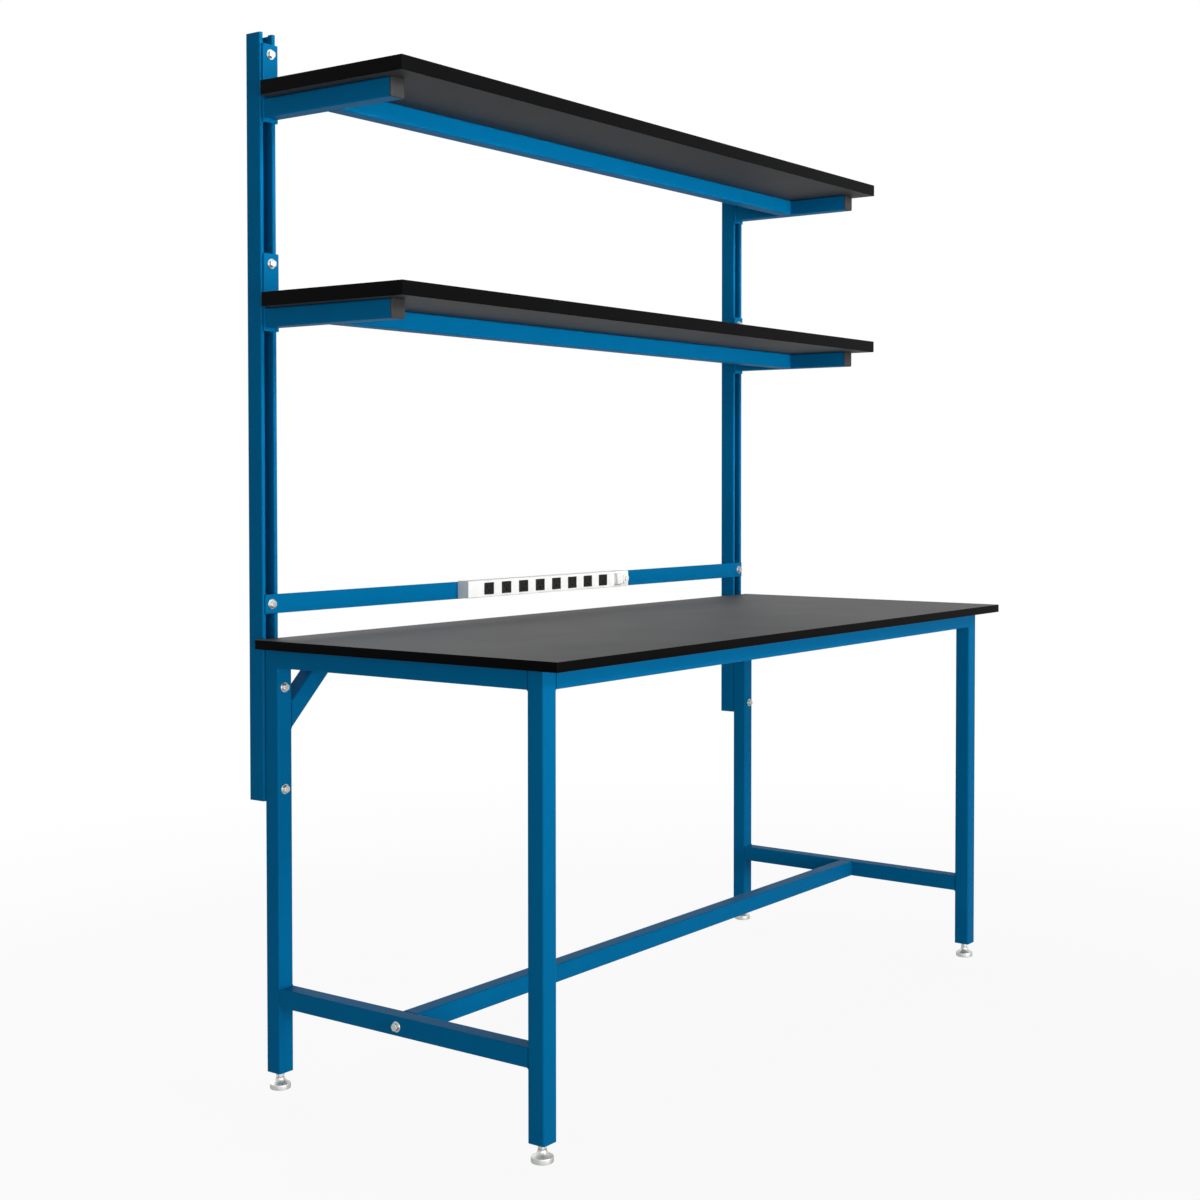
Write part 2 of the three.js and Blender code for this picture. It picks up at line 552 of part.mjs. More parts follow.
for (const [level, underside] of [['lower', LOWER_SHELF_Z], ['upper', UPPER_SHELF_Z]]) {
  const panelY = (SHELF_FRONT_Y + SHELF_REAR_Y) / 2;
  const panelShape = panel(SHELF_LENGTH, SHELF_DEPTH, SHELF_THICKNESS);
  const armZ = underside - SEAT_GAP - ARM_TUBE / 2;
  addPiece(`${level}_shelf_panel`, panelShape, BLACK_LAMINATE, 0, panelY, underside + SHELF_THICKNESS / 2);
  const crossbarLength = 2 * ARM_X - ARM_TUBE - 2 * SEAT_GAP;
  const crossbar = hollowTube('x', ARM_TUBE, ARM_TUBE, TUBE_WALL, TUBE_RADIUS, crossbarLength);
  const crossbarY = SHELF_FRONT_Y + CROSSBAR_FRONT_INSET + ARM_TUBE / 2;
  addPiece(`${level}_shelf_crossbar`, crossbar, BLUE_POWDER_COAT, 0, crossbarY, armZ);
  for (const [side, sign] of SIDES) {
    const x = sign * ARM_X;
    const boltSeat = PLATE_FRONT_Y - SEAT_GAP;
    const boltZ = underside + PLATE_RISE - PLATE_BOLT_INSET;
    const bolt = channelBolt(CHANNEL_NUT_FRONT_Y - boltSeat, sign * (UPRIGHT_X - ARM_X));
    const plugY = ARM_FRONT_Y - SEAT_GAP;
    const bracket = bracketGeometry();
    addPiece(`${level}_shelf_bracket_${side}`, bracket, BLUE_POWDER_COAT, x, PLATE_FRONT_Y, underside);
    addPiece(`${level}_shelf_plug_${side}`, plugGeometry(), GREY_PLUG, x, plugY, armZ);
    addPiece(`${level}_shelf_bolt_${side}`, bolt, ZINC, x, boltSeat, boltZ);
  }
}

// Power rail: a flat bar clamped across both uprights

function powerRailGeometry() {
  const depth = 4 * POWER_RAIL_THICKNESS;
  const holes = SIDES.map(([, sign]) => hole('y', SHANK_HOLE, depth, sign * UPRIGHT_X, 0, 0));
  return cut(box(POWER_RAIL_LENGTH, POWER_RAIL_THICKNESS, POWER_RAIL_WIDTH), ...holes);
}

const railY = CLAMP_FRONT_Y - POWER_RAIL_THICKNESS / 2;
addPiece('power_rail', powerRailGeometry(), BLUE_POWDER_COAT, 0, railY, POWER_RAIL_Z);
for (const [side, sign] of SIDES) {
  const seat = CLAMP_FRONT_Y - POWER_RAIL_THICKNESS - SEAT_GAP;
  const bolt = channelBolt(CHANNEL_NUT_FRONT_Y - seat);
  addPiece(`power_rail_bolt_${side}`, bolt, ZINC, sign * UPRIGHT_X, seat, POWER_RAIL_Z);
}

// Power strip: an extruded housing with a bar of outlets, a rocker switch and a reset button

const outletX = (index) => OUTLET_FIRST - STRIP_LENGTH / 2 + index * OUTLET_PITCH;
const outletIndexes = Array.from({ length: OUTLET_COUNT }, (_, index) => index);

function stripHousing() {
  const section = rectangle(STRIP_WIDTH, STRIP_DEPTH, STRIP_RADIUS);
  section.holes.push(rectangle(STRIP_WIDTH - 2 * STRIP_WALL, STRIP_DEPTH - 2 * STRIP_WALL, 0, THREE.Path));
  const shell = along('x', extrude(section, STRIP_BODY_LENGTH));
  const front = -STRIP_DEPTH / 2;
  const ring = rod('y', BUTTON_RING_DIAMETER, BUTTON_RING_PROUD + BLEND, BUTTON_X,
    front + (BLEND - BUTTON_RING_PROUD) / 2, 0, ROUND_SIDES);
  const play = 2 * SLIDE_GAP;
  const windowAt = (x, width, height) => box(width + play, 4 * STRIP_WALL, height + play, x, front, 0);
  const windows = outletIndexes.map((index) => windowAt(outletX(index), OUTLET_WIDTH, OUTLET_HEIGHT));
  const swing = ROCKER_HEIGHT / Math.cos(ROCKER_TILT) + 2 * ROCKER_PIVOT_DEPTH * Math.tan(ROCKER_TILT);
  windows.push(windowAt(ROCKER_X, ROCKER_WIDTH, swing));
  const bore = 2 * BUTTON_RING_PROUD + 4 * STRIP_WALL;
  windows.push(hole('y', BUTTON_DIAMETER + play, bore, BUTTON_X, front, 0));
  return cut(join(shell, ring), ...windows);
}

// Sockets on one backing bar, which lies behind the housing's front wall.
function outletBar() {
  const barFront = STRIP_WALL + SLIDE_GAP - STRIP_DEPTH / 2;
  const length = (OUTLET_COUNT - 1) * OUTLET_PITCH + OUTLET_WIDTH + 2 * STRIP_WALL;
  const height = STRIP_WIDTH - 2 * STRIP_WALL - 2 * SLIDE_GAP;
  const middleX = outletX((OUTLET_COUNT - 1) / 2);
  const bar = box(length, OUTLET_BAR_THICKNESS, height, middleX, barFront + OUTLET_BAR_THICKNESS / 2, 0);
  const faceDepth = OUTLET_PROUD + STRIP_WALL + SLIDE_GAP + BLEND;
  const faceY = -STRIP_DEPTH / 2 - OUTLET_PROUD + faceDepth / 2;
  const face = (index) => box(OUTLET_WIDTH, faceDepth, OUTLET_HEIGHT, outletX(index), faceY, 0);
  return join(bar, ...outletIndexes.map(face));
}

// Block rocker with rounded front corners, drawn about its pivot and lying across X.
function rockerGeometry() {
  const half = ROCKER_HEIGHT / 2;
  const front = ROCKER_PIVOT_DEPTH + ROCKER_PROUD;
  const back = -ROCKER_BACK;
  const corners = [[-half, back], [half, back], [half, front, ROCKER_RADIUS], [-half, front, ROCKER_RADIUS]];
  const rocker = extrude(outline(corners), ROCKER_WIDTH);
  // Drawn with its face towards +Y and its width along Z; turned so the face looks to -Y.
  return rocker.rotateY(Math.PI / 2).rotateX(Math.PI);
}

function buttonGeometry() {
  const radius = BUTTON_DIAMETER / 2;
  const dome = BUTTON_PROUD / 5;
  const profile = [[0, -BUTTON_DEPTH], [radius, -BUTTON_DEPTH], [radius, BUTTON_PROUD - dome]];
  profile.push([radius - dome, BUTTON_PROUD], [0, BUTTON_PROUD]);
  const points = profile.map(([r, height]) => new THREE.Vector2(r, height));
  return new THREE.LatheGeometry(points, ROUND_SIDES).rotateX(Math.PI);
}

function endCap(bore) {
  const plate = along('x', extrude(rectangle(STRIP_WIDTH, STRIP_DEPTH, STRIP_RADIUS), STRIP_CAP));
  return bore > 0 ? cut(plate, hole('x', bore, 4 * STRIP_CAP)) : plate;
}

// Cord bush in the right end cap, with a blind bore where a cord would go in.
function inletGeometry() {
  const length = INLET_PROUD + STRIP_CAP + STRIP_CAP;
  const body = rod('x', INLET_BODY, length, (INLET_PROUD - 2 * STRIP_CAP) / 2, 0, 0, ROUND_SIDES);
  const flange = rod('x', INLET_FLANGE, INLET_PROUD / 2, INLET_PROUD / 4, 0, 0, ROUND_SIDES);
  return cut(join(body, flange), hole('x', INLET_BORE, 2 * INLET_PROUD, INLET_PROUD, 0, 0));
}

const stripY = (STRIP_FRONT_Y + STRIP_REAR_Y) / 2;
const capX = (STRIP_LENGTH - STRIP_CAP) / 2;
const capBore = INLET_BODY + 2 * SEAT_GAP;
const inletX = STRIP_OFFSET + STRIP_LENGTH / 2 + SEAT_GAP;
const rockerX = STRIP_OFFSET + ROCKER_X;
const rockerY = STRIP_FRONT_Y + ROCKER_PIVOT_DEPTH;
const buttonX = STRIP_OFFSET + BUTTON_X;
addPiece('strip_housing', stripHousing(), WHITE_ALUMINIUM, STRIP_OFFSET, stripY, STRIP_Z);
addPiece('outlet_bar', outletBar(), BLACK_SOCKET, STRIP_OFFSET, stripY, STRIP_Z);
addPiece('strip_end_cap_left', endCap(0), WHITE_PLASTIC, STRIP_OFFSET - capX, stripY, STRIP_Z);
addPiece('strip_end_cap_right', endCap(capBore), WHITE_PLASTIC, STRIP_OFFSET + capX, stripY, STRIP_Z);
addPiece('cord_inlet', inletGeometry(), BLACK_SOCKET, inletX, stripY, STRIP_Z);
addPiece('reset_button', buttonGeometry(), WHITE_PLASTIC, buttonX, STRIP_FRONT_Y, STRIP_Z);
const rocker = addPiece('rocker_switch', rockerGeometry(), WHITE_PLASTIC, rockerX, rockerY, STRIP_Z);
rocker.rotation.x = -ROCKER_TILT;

export default bench;
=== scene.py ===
import json
import math

import bmesh
import bpy
from bpy.props import FloatProperty, FloatVectorProperty, IntProperty, PointerProperty
from mathutils import Matrix, Vector


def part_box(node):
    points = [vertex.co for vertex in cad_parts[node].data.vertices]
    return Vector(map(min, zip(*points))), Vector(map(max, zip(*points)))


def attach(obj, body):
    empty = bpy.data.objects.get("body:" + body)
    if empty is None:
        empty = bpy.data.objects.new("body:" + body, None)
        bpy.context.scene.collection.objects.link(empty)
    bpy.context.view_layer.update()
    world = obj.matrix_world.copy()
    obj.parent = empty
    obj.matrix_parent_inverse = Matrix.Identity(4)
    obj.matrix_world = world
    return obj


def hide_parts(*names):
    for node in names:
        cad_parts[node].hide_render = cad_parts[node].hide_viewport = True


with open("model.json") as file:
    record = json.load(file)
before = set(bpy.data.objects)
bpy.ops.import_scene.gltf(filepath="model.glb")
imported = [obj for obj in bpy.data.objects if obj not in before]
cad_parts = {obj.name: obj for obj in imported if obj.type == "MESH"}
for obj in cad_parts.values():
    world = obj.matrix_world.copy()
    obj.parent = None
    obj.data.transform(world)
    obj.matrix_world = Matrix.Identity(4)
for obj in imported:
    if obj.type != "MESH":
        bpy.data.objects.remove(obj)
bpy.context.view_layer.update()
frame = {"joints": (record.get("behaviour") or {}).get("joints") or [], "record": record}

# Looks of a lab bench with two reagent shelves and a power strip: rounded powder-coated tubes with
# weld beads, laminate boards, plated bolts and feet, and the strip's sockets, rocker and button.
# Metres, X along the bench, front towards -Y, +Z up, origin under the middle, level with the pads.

bl_info = {
    "name": "Lab bench looks",
    "version": (1, 0, 0),
    "blender": (4, 5, 0),
    "location": "3D View > Sidebar > Lab bench",
    "description": "Dresses the packed lab bench with finished pieces, materials and a stage",
    "category": "Object",
}

MM = 0.001
TOUCH = 0.01 * MM  # places closer than this are the same place
SHARP_ANGLE = math.radians(35)  # faces that meet at more than this keep a sharp edge
AXES = {"x": Vector((1, 0, 0)), "y": Vector((0, 1, 0)), "z": Vector((0, 0, 1))}
SIDES = ("left", "right")
ENDS = ("front", "rear")
LEVELS = ("lower", "upper")
BODY_OF = {
    node: body
    for body, nodes in frame["record"]["behaviour"]["bodies"].items()
    for node in nodes
}
# The floor lies where the pads reach when they are screwed right out, so it never hides them.
FLOOR_HEIGHT = min(joint["range_m"][0] for joint in frame["joints"]
                   if joint["name"].startswith("foot_travel"))


def linear(hex_text):
    """Linear colour of an sRGB hex value."""
    shares = [int(hex_text[at:at + 2], 16) / 255 for at in (1, 3, 5)]
    return tuple(s / 12.92 if s <= 0.04045 else ((s + 0.055) / 1.055) ** 2.4 for s in shares)


def length_property(name, description, millimetres):
    """A length, kept in metres."""
    return FloatProperty(name=name, description=description, default=millimetres * MM, min=0.0,
                         unit="LENGTH", subtype="DISTANCE")


def colour_property(name, description, hex_text):
    """A colour, kept as linear light."""
    return FloatVectorProperty(name=name, description=description, default=linear(hex_text),
                               size=3, min=0.0, max=1.0, subtype="COLOR")


class BenchSizes(bpy.types.PropertyGroup):
    """Sizes of details that the CAD nodes' boxes don't give."""

    tube_radius: length_property("Tube corner", "Outside corner radius of the square tubes", 4)
    bend_steps: IntProperty(name="Bend steps", description="Facets along a rounded corner",
                            default=5, min=1)
    turn_steps: IntProperty(name="Turn steps", description="Facets round a turned shape",
                            default=40, min=8)
    board_ease: length_property("Board edge", "Rounding of the laminate boards' edges", 1.2)
    weld_radius: length_property("Weld bead", "Radius of the weld beads", 2.4)
    brace_width: length_property("Brace width", "Width of a corner brace across its slope", 38)
    channel_wall: length_property("Channel wall", "Sheet thickness of the uprights", 2.5)
    channel_lip: length_property("Channel lip", "Width of an upright's front lip", 9.5)
    channel_curl: length_property("Channel curl", "How far a lip turns back", 12)
    channel_radius: length_property("Channel corner", "Outside bend radius of the uprights", 3)
    plate_thickness: length_property("Bracket plate", "Thickness of a bracket's back plate", 4)
    plug_face: length_property("Plug face", "Thickness of a plug in front of its arm", 3)
    washer_radius: length_property("Washer radius", "Radius of a bolt's washer", 10.25)
    washer_thickness: length_property("Washer thickness", "Thickness of a bolt's washer", 2)
    head_flats: length_property("Head flats", "Bolt head across its flats", 14)
    head_height: length_property("Head height", "Height of a bolt's head", 6)
    shank_radius: length_property("Shank radius", "Radius of a bolt's shank", 4)
    nut_thickness: length_property("Nut thickness", "Thickness of a channel nut", 8)
    pad_rim: length_property("Pad rim", "Height of a foot pad's thick disc", 11)
    pad_boss: length_property("Pad boss", "Radius of a foot pad at its top", 8.5)
    stem_neck: length_property("Stem neck", "Radius of a foot stem's neck", 5.5)
    stem_flats: length_property("Stem flats", "Foot stem's hexagon across its flats", 15)
    stem_hex_height: length_property("Stem hexagon", "Height of a foot stem's hexagon", 9)
    thread_radius: length_property("Thread radius", "Radius of a foot stem's thread", 6)
    thread_pitch: length_property("Thread pitch", "Pitch of a foot stem's thread", 1.75)
    strip_radius: length_property("Strip corner", "Corner radius of the power strip", 2)
    strip_wall: length_property("Strip wall", "Wall of the power strip's housing", 1.6)
    outlet_width: length_property("Outlet width", "Width of a socket's face", 33)
    outlet_height: length_property("Outlet height", "Height of a socket's face", 27)
    outlet_pitch: length_property("Outlet pitch", "Distance between two sockets", 62)
    outlet_proud: length_property("Outlet proud", "How far a socket stands in front", 0.6)
    rocker_height: length_property("Rocker height", "Height of the rocker's block", 29)
    rocker_front: length_property("Rocker front", "Rocker's face in front of its pivot", 13)
    rocker_back: length_property("Rocker back", "Rocker's back behind its pivot", 4)
    rocker_pivot: length_property("Rocker pivot", "Pivot behind the strip's front", 3)
    rocker_radius: length_property("Rocker corner", "Radius of the rocker's front corners", 4)
    rocker_tilt: FloatProperty(name="Rocker tilt", description="Lean of the rocker at rest",
                               default=math.radians(-5), subtype="ANGLE", unit="ROTATION")
    button_ring: length_property("Button collar", "Radius of the collar round the button", 12)
    button_ring_proud: length_property("Collar proud", "How far the collar stands in front", 5)


class BenchColours(bpy.types.PropertyGroup):
    """Colours of the finishes."""

    coat: colour_property("Powder coat", "Blue coat of the steel frame", "#00699c")
    board: colour_property("Board face", "Laminate face of the boards", "#2b2c2c")
    edge: colour_property("Board edge", "Edge band of the boards", "#040404")
    zinc: colour_property("Zinc plate", "Bolts and feet", "#dadad6")
    plug: colour_property("Arm plug", "Plugs in the shelf arms", "#222222")
    housing: colour_property("Strip housing", "Painted housing of the power strip", "#f5f5f3")
    cap: colour_property("White plastic", "End caps, rocker and button", "#f4f4f2")
    socket: colour_property("Black plastic", "Sockets and cord bush", "#161616")
    floor: colour_property("Floor", "Studio floor", "#e2e2e2")


def sizes():
    """The sizes set in the sidebar."""
    return bpy.context.scene.bench_sizes


def colours():
    """The colours set in the sidebar."""
    return bpy.context.scene.bench_colours


# Materials


def set_inputs(tree, node, inputs):
    """Sets a node's inputs, each to a value or to another node's output socket."""
    for name, value in inputs.items():
        if isinstance(value, bpy.types.NodeSocket):
            tree.links.new(value, node.inputs[name])
        else:
            node.inputs[name].default_value = value


def add_node(tree, kind, inputs=None, **settings):
    """Adds a node with its settings and inputs."""
    node = tree.nodes.new(kind)
    for name, value in settings.items():
        setattr(node, name, value)
    set_inputs(tree, node, inputs or {})
    return node


def per_metre(millimetres):
    """Texture scale at which a pattern repeats about every so many millimetres."""
    return 1 / (millimetres * MM)


def shade(colour, share):
    """The colour with its light scaled, with full alpha."""
    return (*(min(channel * share, 1.0) for channel in colour), 1.0)


def new_material(name):
    """An empty material, its tree, its shader and the object's own coordinates."""
    material = bpy.data.materials.new(name)
    material.use_nodes = True
    tree = material.node_tree
    shader = tree.nodes["Principled BSDF"]
    place = add_node(tree, "ShaderNodeTexCoord").outputs["Object"]
    return material, tree, shader, place


def powder_coat(name):
    """Polyester powder coat, sprayed and baked: a satin skin with a fine orange peel, whose film
    is a little thicker and paler in soft patches."""
    material, tree, shader, place = new_material(name)
    coat = colours().coat
    patch = add_node(tree, "ShaderNodeTexNoise", {
        "Vector": place, "Scale": per_metre(90), "Detail": 3.0, "Roughness": 0.55})
    tone = add_node(tree, "ShaderNodeMix", {
        "Factor": patch.outputs["Fac"], "A": shade(coat, 0.93), "B": shade(coat, 1.07)},
        data_type="RGBA")
    # The peel is about 1.5 mm on real coats and is drawn at 3 mm so that it shows.
    peel = add_node(tree, "ShaderNodeTexNoise", {
        "Vector": place, "Scale": per_metre(3), "Detail": 2.0})
    gloss = add_node(tree, "ShaderNodeMapRange", {
        "Value": patch.outputs["Fac"], "To Min": 0.36, "To Max": 0.46})
    bump = add_node(tree, "ShaderNodeBump", {
        "Height": peel.outputs["Fac"], "Strength": 0.12, "Distance": 0.2 * MM})
    set_inputs(tree, shader, {
        "Base Color": tone.outputs["Result"], "Roughness": gloss.outputs["Result"],
        "Normal": bump.outputs["Normal"], "Specular IOR Level": 0.02})
    return material


def board_face(name):
    """High-pressure laminate pressed against a pebbled plate: a satin charcoal with a fine
    speckle."""
    material, tree, shader, place = new_material(name)
    board = colours().board
    # The pebble is about 1 mm on real laminate and is drawn at 4 mm so that it shows.
    pebble = add_node(tree, "ShaderNodeTexVoronoi", {"Vector": place, "Scale": per_metre(4)})
    cloud = add_node(tree, "ShaderNodeTexNoise", {
        "Vector": place, "Scale": per_metre(160), "Detail": 4.0})
    speck = add_node(tree, "ShaderNodeMix", {
        "Factor": pebble.outputs["Distance"], "A": shade(board, 0.9), "B": shade(board, 1.12)},
        data_type="RGBA")
    gloss = add_node(tree, "ShaderNodeMapRange", {
        "Value": cloud.outputs["Fac"], "To Min": 0.56, "To Max": 0.64})
    bump = add_node(tree, "ShaderNodeBump", {
        "Height": pebble.outputs["Distance"], "Strength": 0.1, "Distance": 0.2 * MM})
    set_inputs(tree, shader, {
        "Base Color": speck.outputs["Result"], "Roughness": gloss.outputs["Result"],
        "Normal": bump.outputs["Normal"], "Specular IOR Level": 0.42})
    return material


def grained_skin(name, colour, roughness, grain, specular):
    """Moulded plastic or stoved paint: one even colour, with a fine grain and a gloss that
    wavers with it."""
    material, tree, shader, place = new_material(name)
    # The grain is a fraction of a millimetre on the real skins and is drawn coarser to show.
    eroded = add_node(tree, "ShaderNodeTexNoise", {
        "Vector": place, "Scale": per_metre(grain), "Detail": 3.0})
    tone = add_node(tree, "ShaderNodeMix", {
        "Factor": eroded.outputs["Fac"], "A": shade(colour, 0.94), "B": shade(colour, 1.06)},
        data_type="RGBA")
    waver = 0.05
    gloss = add_node(tree, "ShaderNodeMapRange", {
        "Value": eroded.outputs["Fac"], "To Min": roughness - waver, "To Max": roughness + waver})
    bump = add_node(tree, "ShaderNodeBump", {
        "Height": eroded.outputs["Fac"], "Strength": 0.1, "Distance": 0.1 * MM})
    set_inputs(tree, shader, {
        "Base Color": tone.outputs["Result"], "Roughness": gloss.outputs["Result"],
        "Normal": bump.outputs["Normal"], "Specular IOR Level": specular})
    return material


def board_edge(name):
    """Black ABS edge band, glued on and scraped flush: near black, with hardly a sheen."""
    return grained_skin(name, colours().edge, roughness=0.32, grain=5, specular=0.03)


def zinc_plate(name, smoothest, roughest):
    """Zinc on steel: metallic, with soft cloudy patches from the plating bath."""
    material, tree, shader, place = new_material(name)
    zinc = colours().zinc
    cloud = add_node(tree, "ShaderNodeTexNoise", {
        "Vector": place, "Scale": per_metre(9), "Detail": 3.0})
    tone = add_node(tree, "ShaderNodeMix", {
        "Factor": cloud.outputs["Fac"], "A": shade(zinc, 0.86), "B": shade(zinc, 1.08)},
        data_type="RGBA")
    gloss = add_node(tree, "ShaderNodeMapRange", {
        "Value": cloud.outputs["Fac"], "To Min": smoothest, "To Max": roughest})
    set_inputs(tree, shader, {
        "Base Color": tone.outputs["Result"], "Roughness": gloss.outputs["Result"],
        "Metallic": 1.0})
    return material


def bright_zinc(name):
    """Bright zinc of the bolts and screws: pale, with blurred bright reflections."""
    return zinc_plate(name, smoothest=0.28, roughest=0.42)


def satin_zinc(name):
    """Satin zinc of the feet: the same pale metal with a softer shine."""
    return zinc_plate(name, smoothest=0.44, roughest=0.56)


def arm_plug_plastic(name):
    """Polyethylene plug, matt from the mould: a dull dark grey."""
    return grained_skin(name, colours().plug, roughness=0.55, grain=3, specular=0.3)


def strip_paint(name):
    """White stoved paint on extruded aluminium: smooth, with a low sheen."""
    return grained_skin(name, colours().housing, roughness=0.42, grain=12, specular=0.12)


def white_plastic(name):
    """White ABS of the end caps, the rocker and the button: a little duller than the paint."""
    return grained_skin(name, colours().cap, roughness=0.45, grain=4, specular=0.15)


def black_plastic(name):
    """Black polycarbonate of the sockets and the cord bush: black with a soft grey sheen."""
    return grained_skin(name, colours().socket, roughness=0.48, grain=4, specular=0.22)


FINISHES = {
    "blue_powder_coat": ("blue_polyester_powder_coat", powder_coat),
    "black_laminate": ("charcoal_pressed_laminate", board_face),
    "black_edge_band": ("black_abs_edge_band", board_edge),
    "zinc_fastener": ("bright_zinc_plate", bright_zinc),
    "zinc_foot": ("satin_zinc_plate", satin_zinc),
    "arm_plug": ("grey_polyethylene", arm_plug_plastic),
    "white_housing": ("white_stoved_paint", strip_paint),
    "white_plastic": ("white_abs", white_plastic),
    "black_plastic": ("black_polycarbonate", black_plastic),
}


def finish(slot):
    """The material of a slot, made when it is first asked for."""
    name, build = FINISHES[slot]
    return bpy.data.materials.get(name) or build(name)


# Shapes


def edges_of(verts):
    """All edges that meet at these vertices."""
    return list({edge for vert in verts for edge in vert.link_edges})


def along(edges, direction):
    """Those of the edges that run in a direction."""
    return [e for e in edges
            if abs((e.verts[0].co - e.verts[1].co).normalized().dot(direction)) > 0.99]


def lying_at(edges, axis, place):
    """Those of the edges with both ends at one place on an axis."""
    index = "xyz".index(axis)
    return [e for e in edges if all(abs(v.co[index] - place) < TOUCH for v in e.verts)]


def bevel(bm, edges, radius, steps):
    """Rounds the edges."""
    bmesh.ops.bevel(bm, geom=edges, offset=radius, offset_type="OFFSET", segments=steps,
                    profile=0.5, affect="EDGES", clamp_overlap=True, material=-1)


def add_box(bm, low, high):
    """Plain block between two corners; gives its vertices."""
    low, high = Vector(low), Vector(high)
    place = Matrix.Translation((low + high) / 2) @ Matrix.Diagonal((*(high - low), 1.0))
    return bmesh.ops.create_cube(bm, size=1.0, matrix=place)["verts"]


def add_eased_box(bm, low, high, ease, steps=3):
    """Block with all its edges rounded."""
    bevel(bm, edges_of(add_box(bm, low, high)), ease, steps)


def add_tube(bm, low, high, axis, radius):
    """Square tube: a block with the four edges along its axis rounded."""
    edges = edges_of(add_box(bm, low, high))
    bevel(bm, along(edges, AXES[axis]), radius, sizes().bend_steps)


def add_prism(bm, outline, lift):
    """Flat outline raised by a vector to a solid."""
    face = bm.faces.new([bm.verts.new(corner) for corner in outline])
    raised = bmesh.ops.extrude_face_region(bm, geom=[face])["geom"]
    moved = [item for item in raised if isinstance(item, bmesh.types.BMVert)]
    bmesh.ops.translate(bm, verts=moved, vec=lift)


def facing(axis, origin):
    """Matrix that takes a shape built along +Z to that axis and origin."""
    turn = AXES["z"].rotation_difference(Vector(axis)).to_matrix().to_4x4()
    return Matrix.Translation(origin) @ turn


def add_turned(bm, profile, axis, origin):
    """Turned shape from (radius, height) points, its heights along the axis from the origin."""
    before = set(bm.verts)
    line = [bm.verts.new((radius, 0, height)) for radius, height in profile]
    edges = [bm.edges.new(pair) for pair in zip(line, line[1:])]
    bmesh.ops.spin(bm, geom=line + edges, cent=(0, 0, 0), axis=(0, 0, 1), angle=2 * math.pi,
                   steps=sizes().turn_steps, use_merge=True)
    made = [vert for vert in bm.verts if vert not in before]
    bmesh.ops.remove_doubles(bm, verts=made, dist=TOUCH / 10)
    made = [vert for vert in bm.verts if vert not in before]
    bmesh.ops.transform(bm, matrix=facing(axis, origin), verts=made)


def add_hexagon(bm, flats, bottom, top, axis, origin, ease):
    """Hexagon prism with eased edges, its heights along the axis from the origin."""
    middle = Matrix.Translation((0, 0, (bottom + top) / 2))
    radius = flats / 2 / math.cos(math.pi / 6)
    verts = bmesh.ops.create_cone(
        bm, cap_ends=True, segments=6, radius1=radius, radius2=radius, depth=top - bottom,
        matrix=facing(axis, origin) @ middle)["verts"]
    bevel(bm, edges_of(verts), ease, steps=2)


def add_weld(bm, start, end):
    """Weld bead: a row of overlapping drops."""
    radius = sizes().weld_radius
    spacing = 0.8 * radius
    start, end = Vector(start), Vector(end)
    count = max(2, round((end - start).length / spacing))
    for step in range(count + 1):
        place = Matrix.Translation(start.lerp(end, step / count))
        bmesh.ops.create_icosphere(bm, subdivisions=2, radius=radius, matrix=place)


def add_piece(bm, node, slot, *extra_slots):
    """Makes the piece that stands for a CAD node, on the node's body and with its finish."""
    bmesh.ops.recalc_face_normals(bm, faces=bm.faces)
    name = f"{node}_looks"
    mesh = bpy.data.meshes.new(name)
    bm.to_mesh(mesh)
    bm.free()
    for finish_slot in (slot, *extra_slots):
        mesh.materials.append(finish(finish_slot))
    mesh.shade_smooth()
    mesh.set_sharp_from_angle(angle=SHARP_ANGLE)
    piece = bpy.data.objects.new(name, mesh)
    bpy.context.scene.collection.objects.link(piece)
    piece.modifiers.new("Flat faces stay flat", "WEIGHTED_NORMAL").keep_sharp = True
    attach(piece, BODY_OF[node])
    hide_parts(node)


# Operators


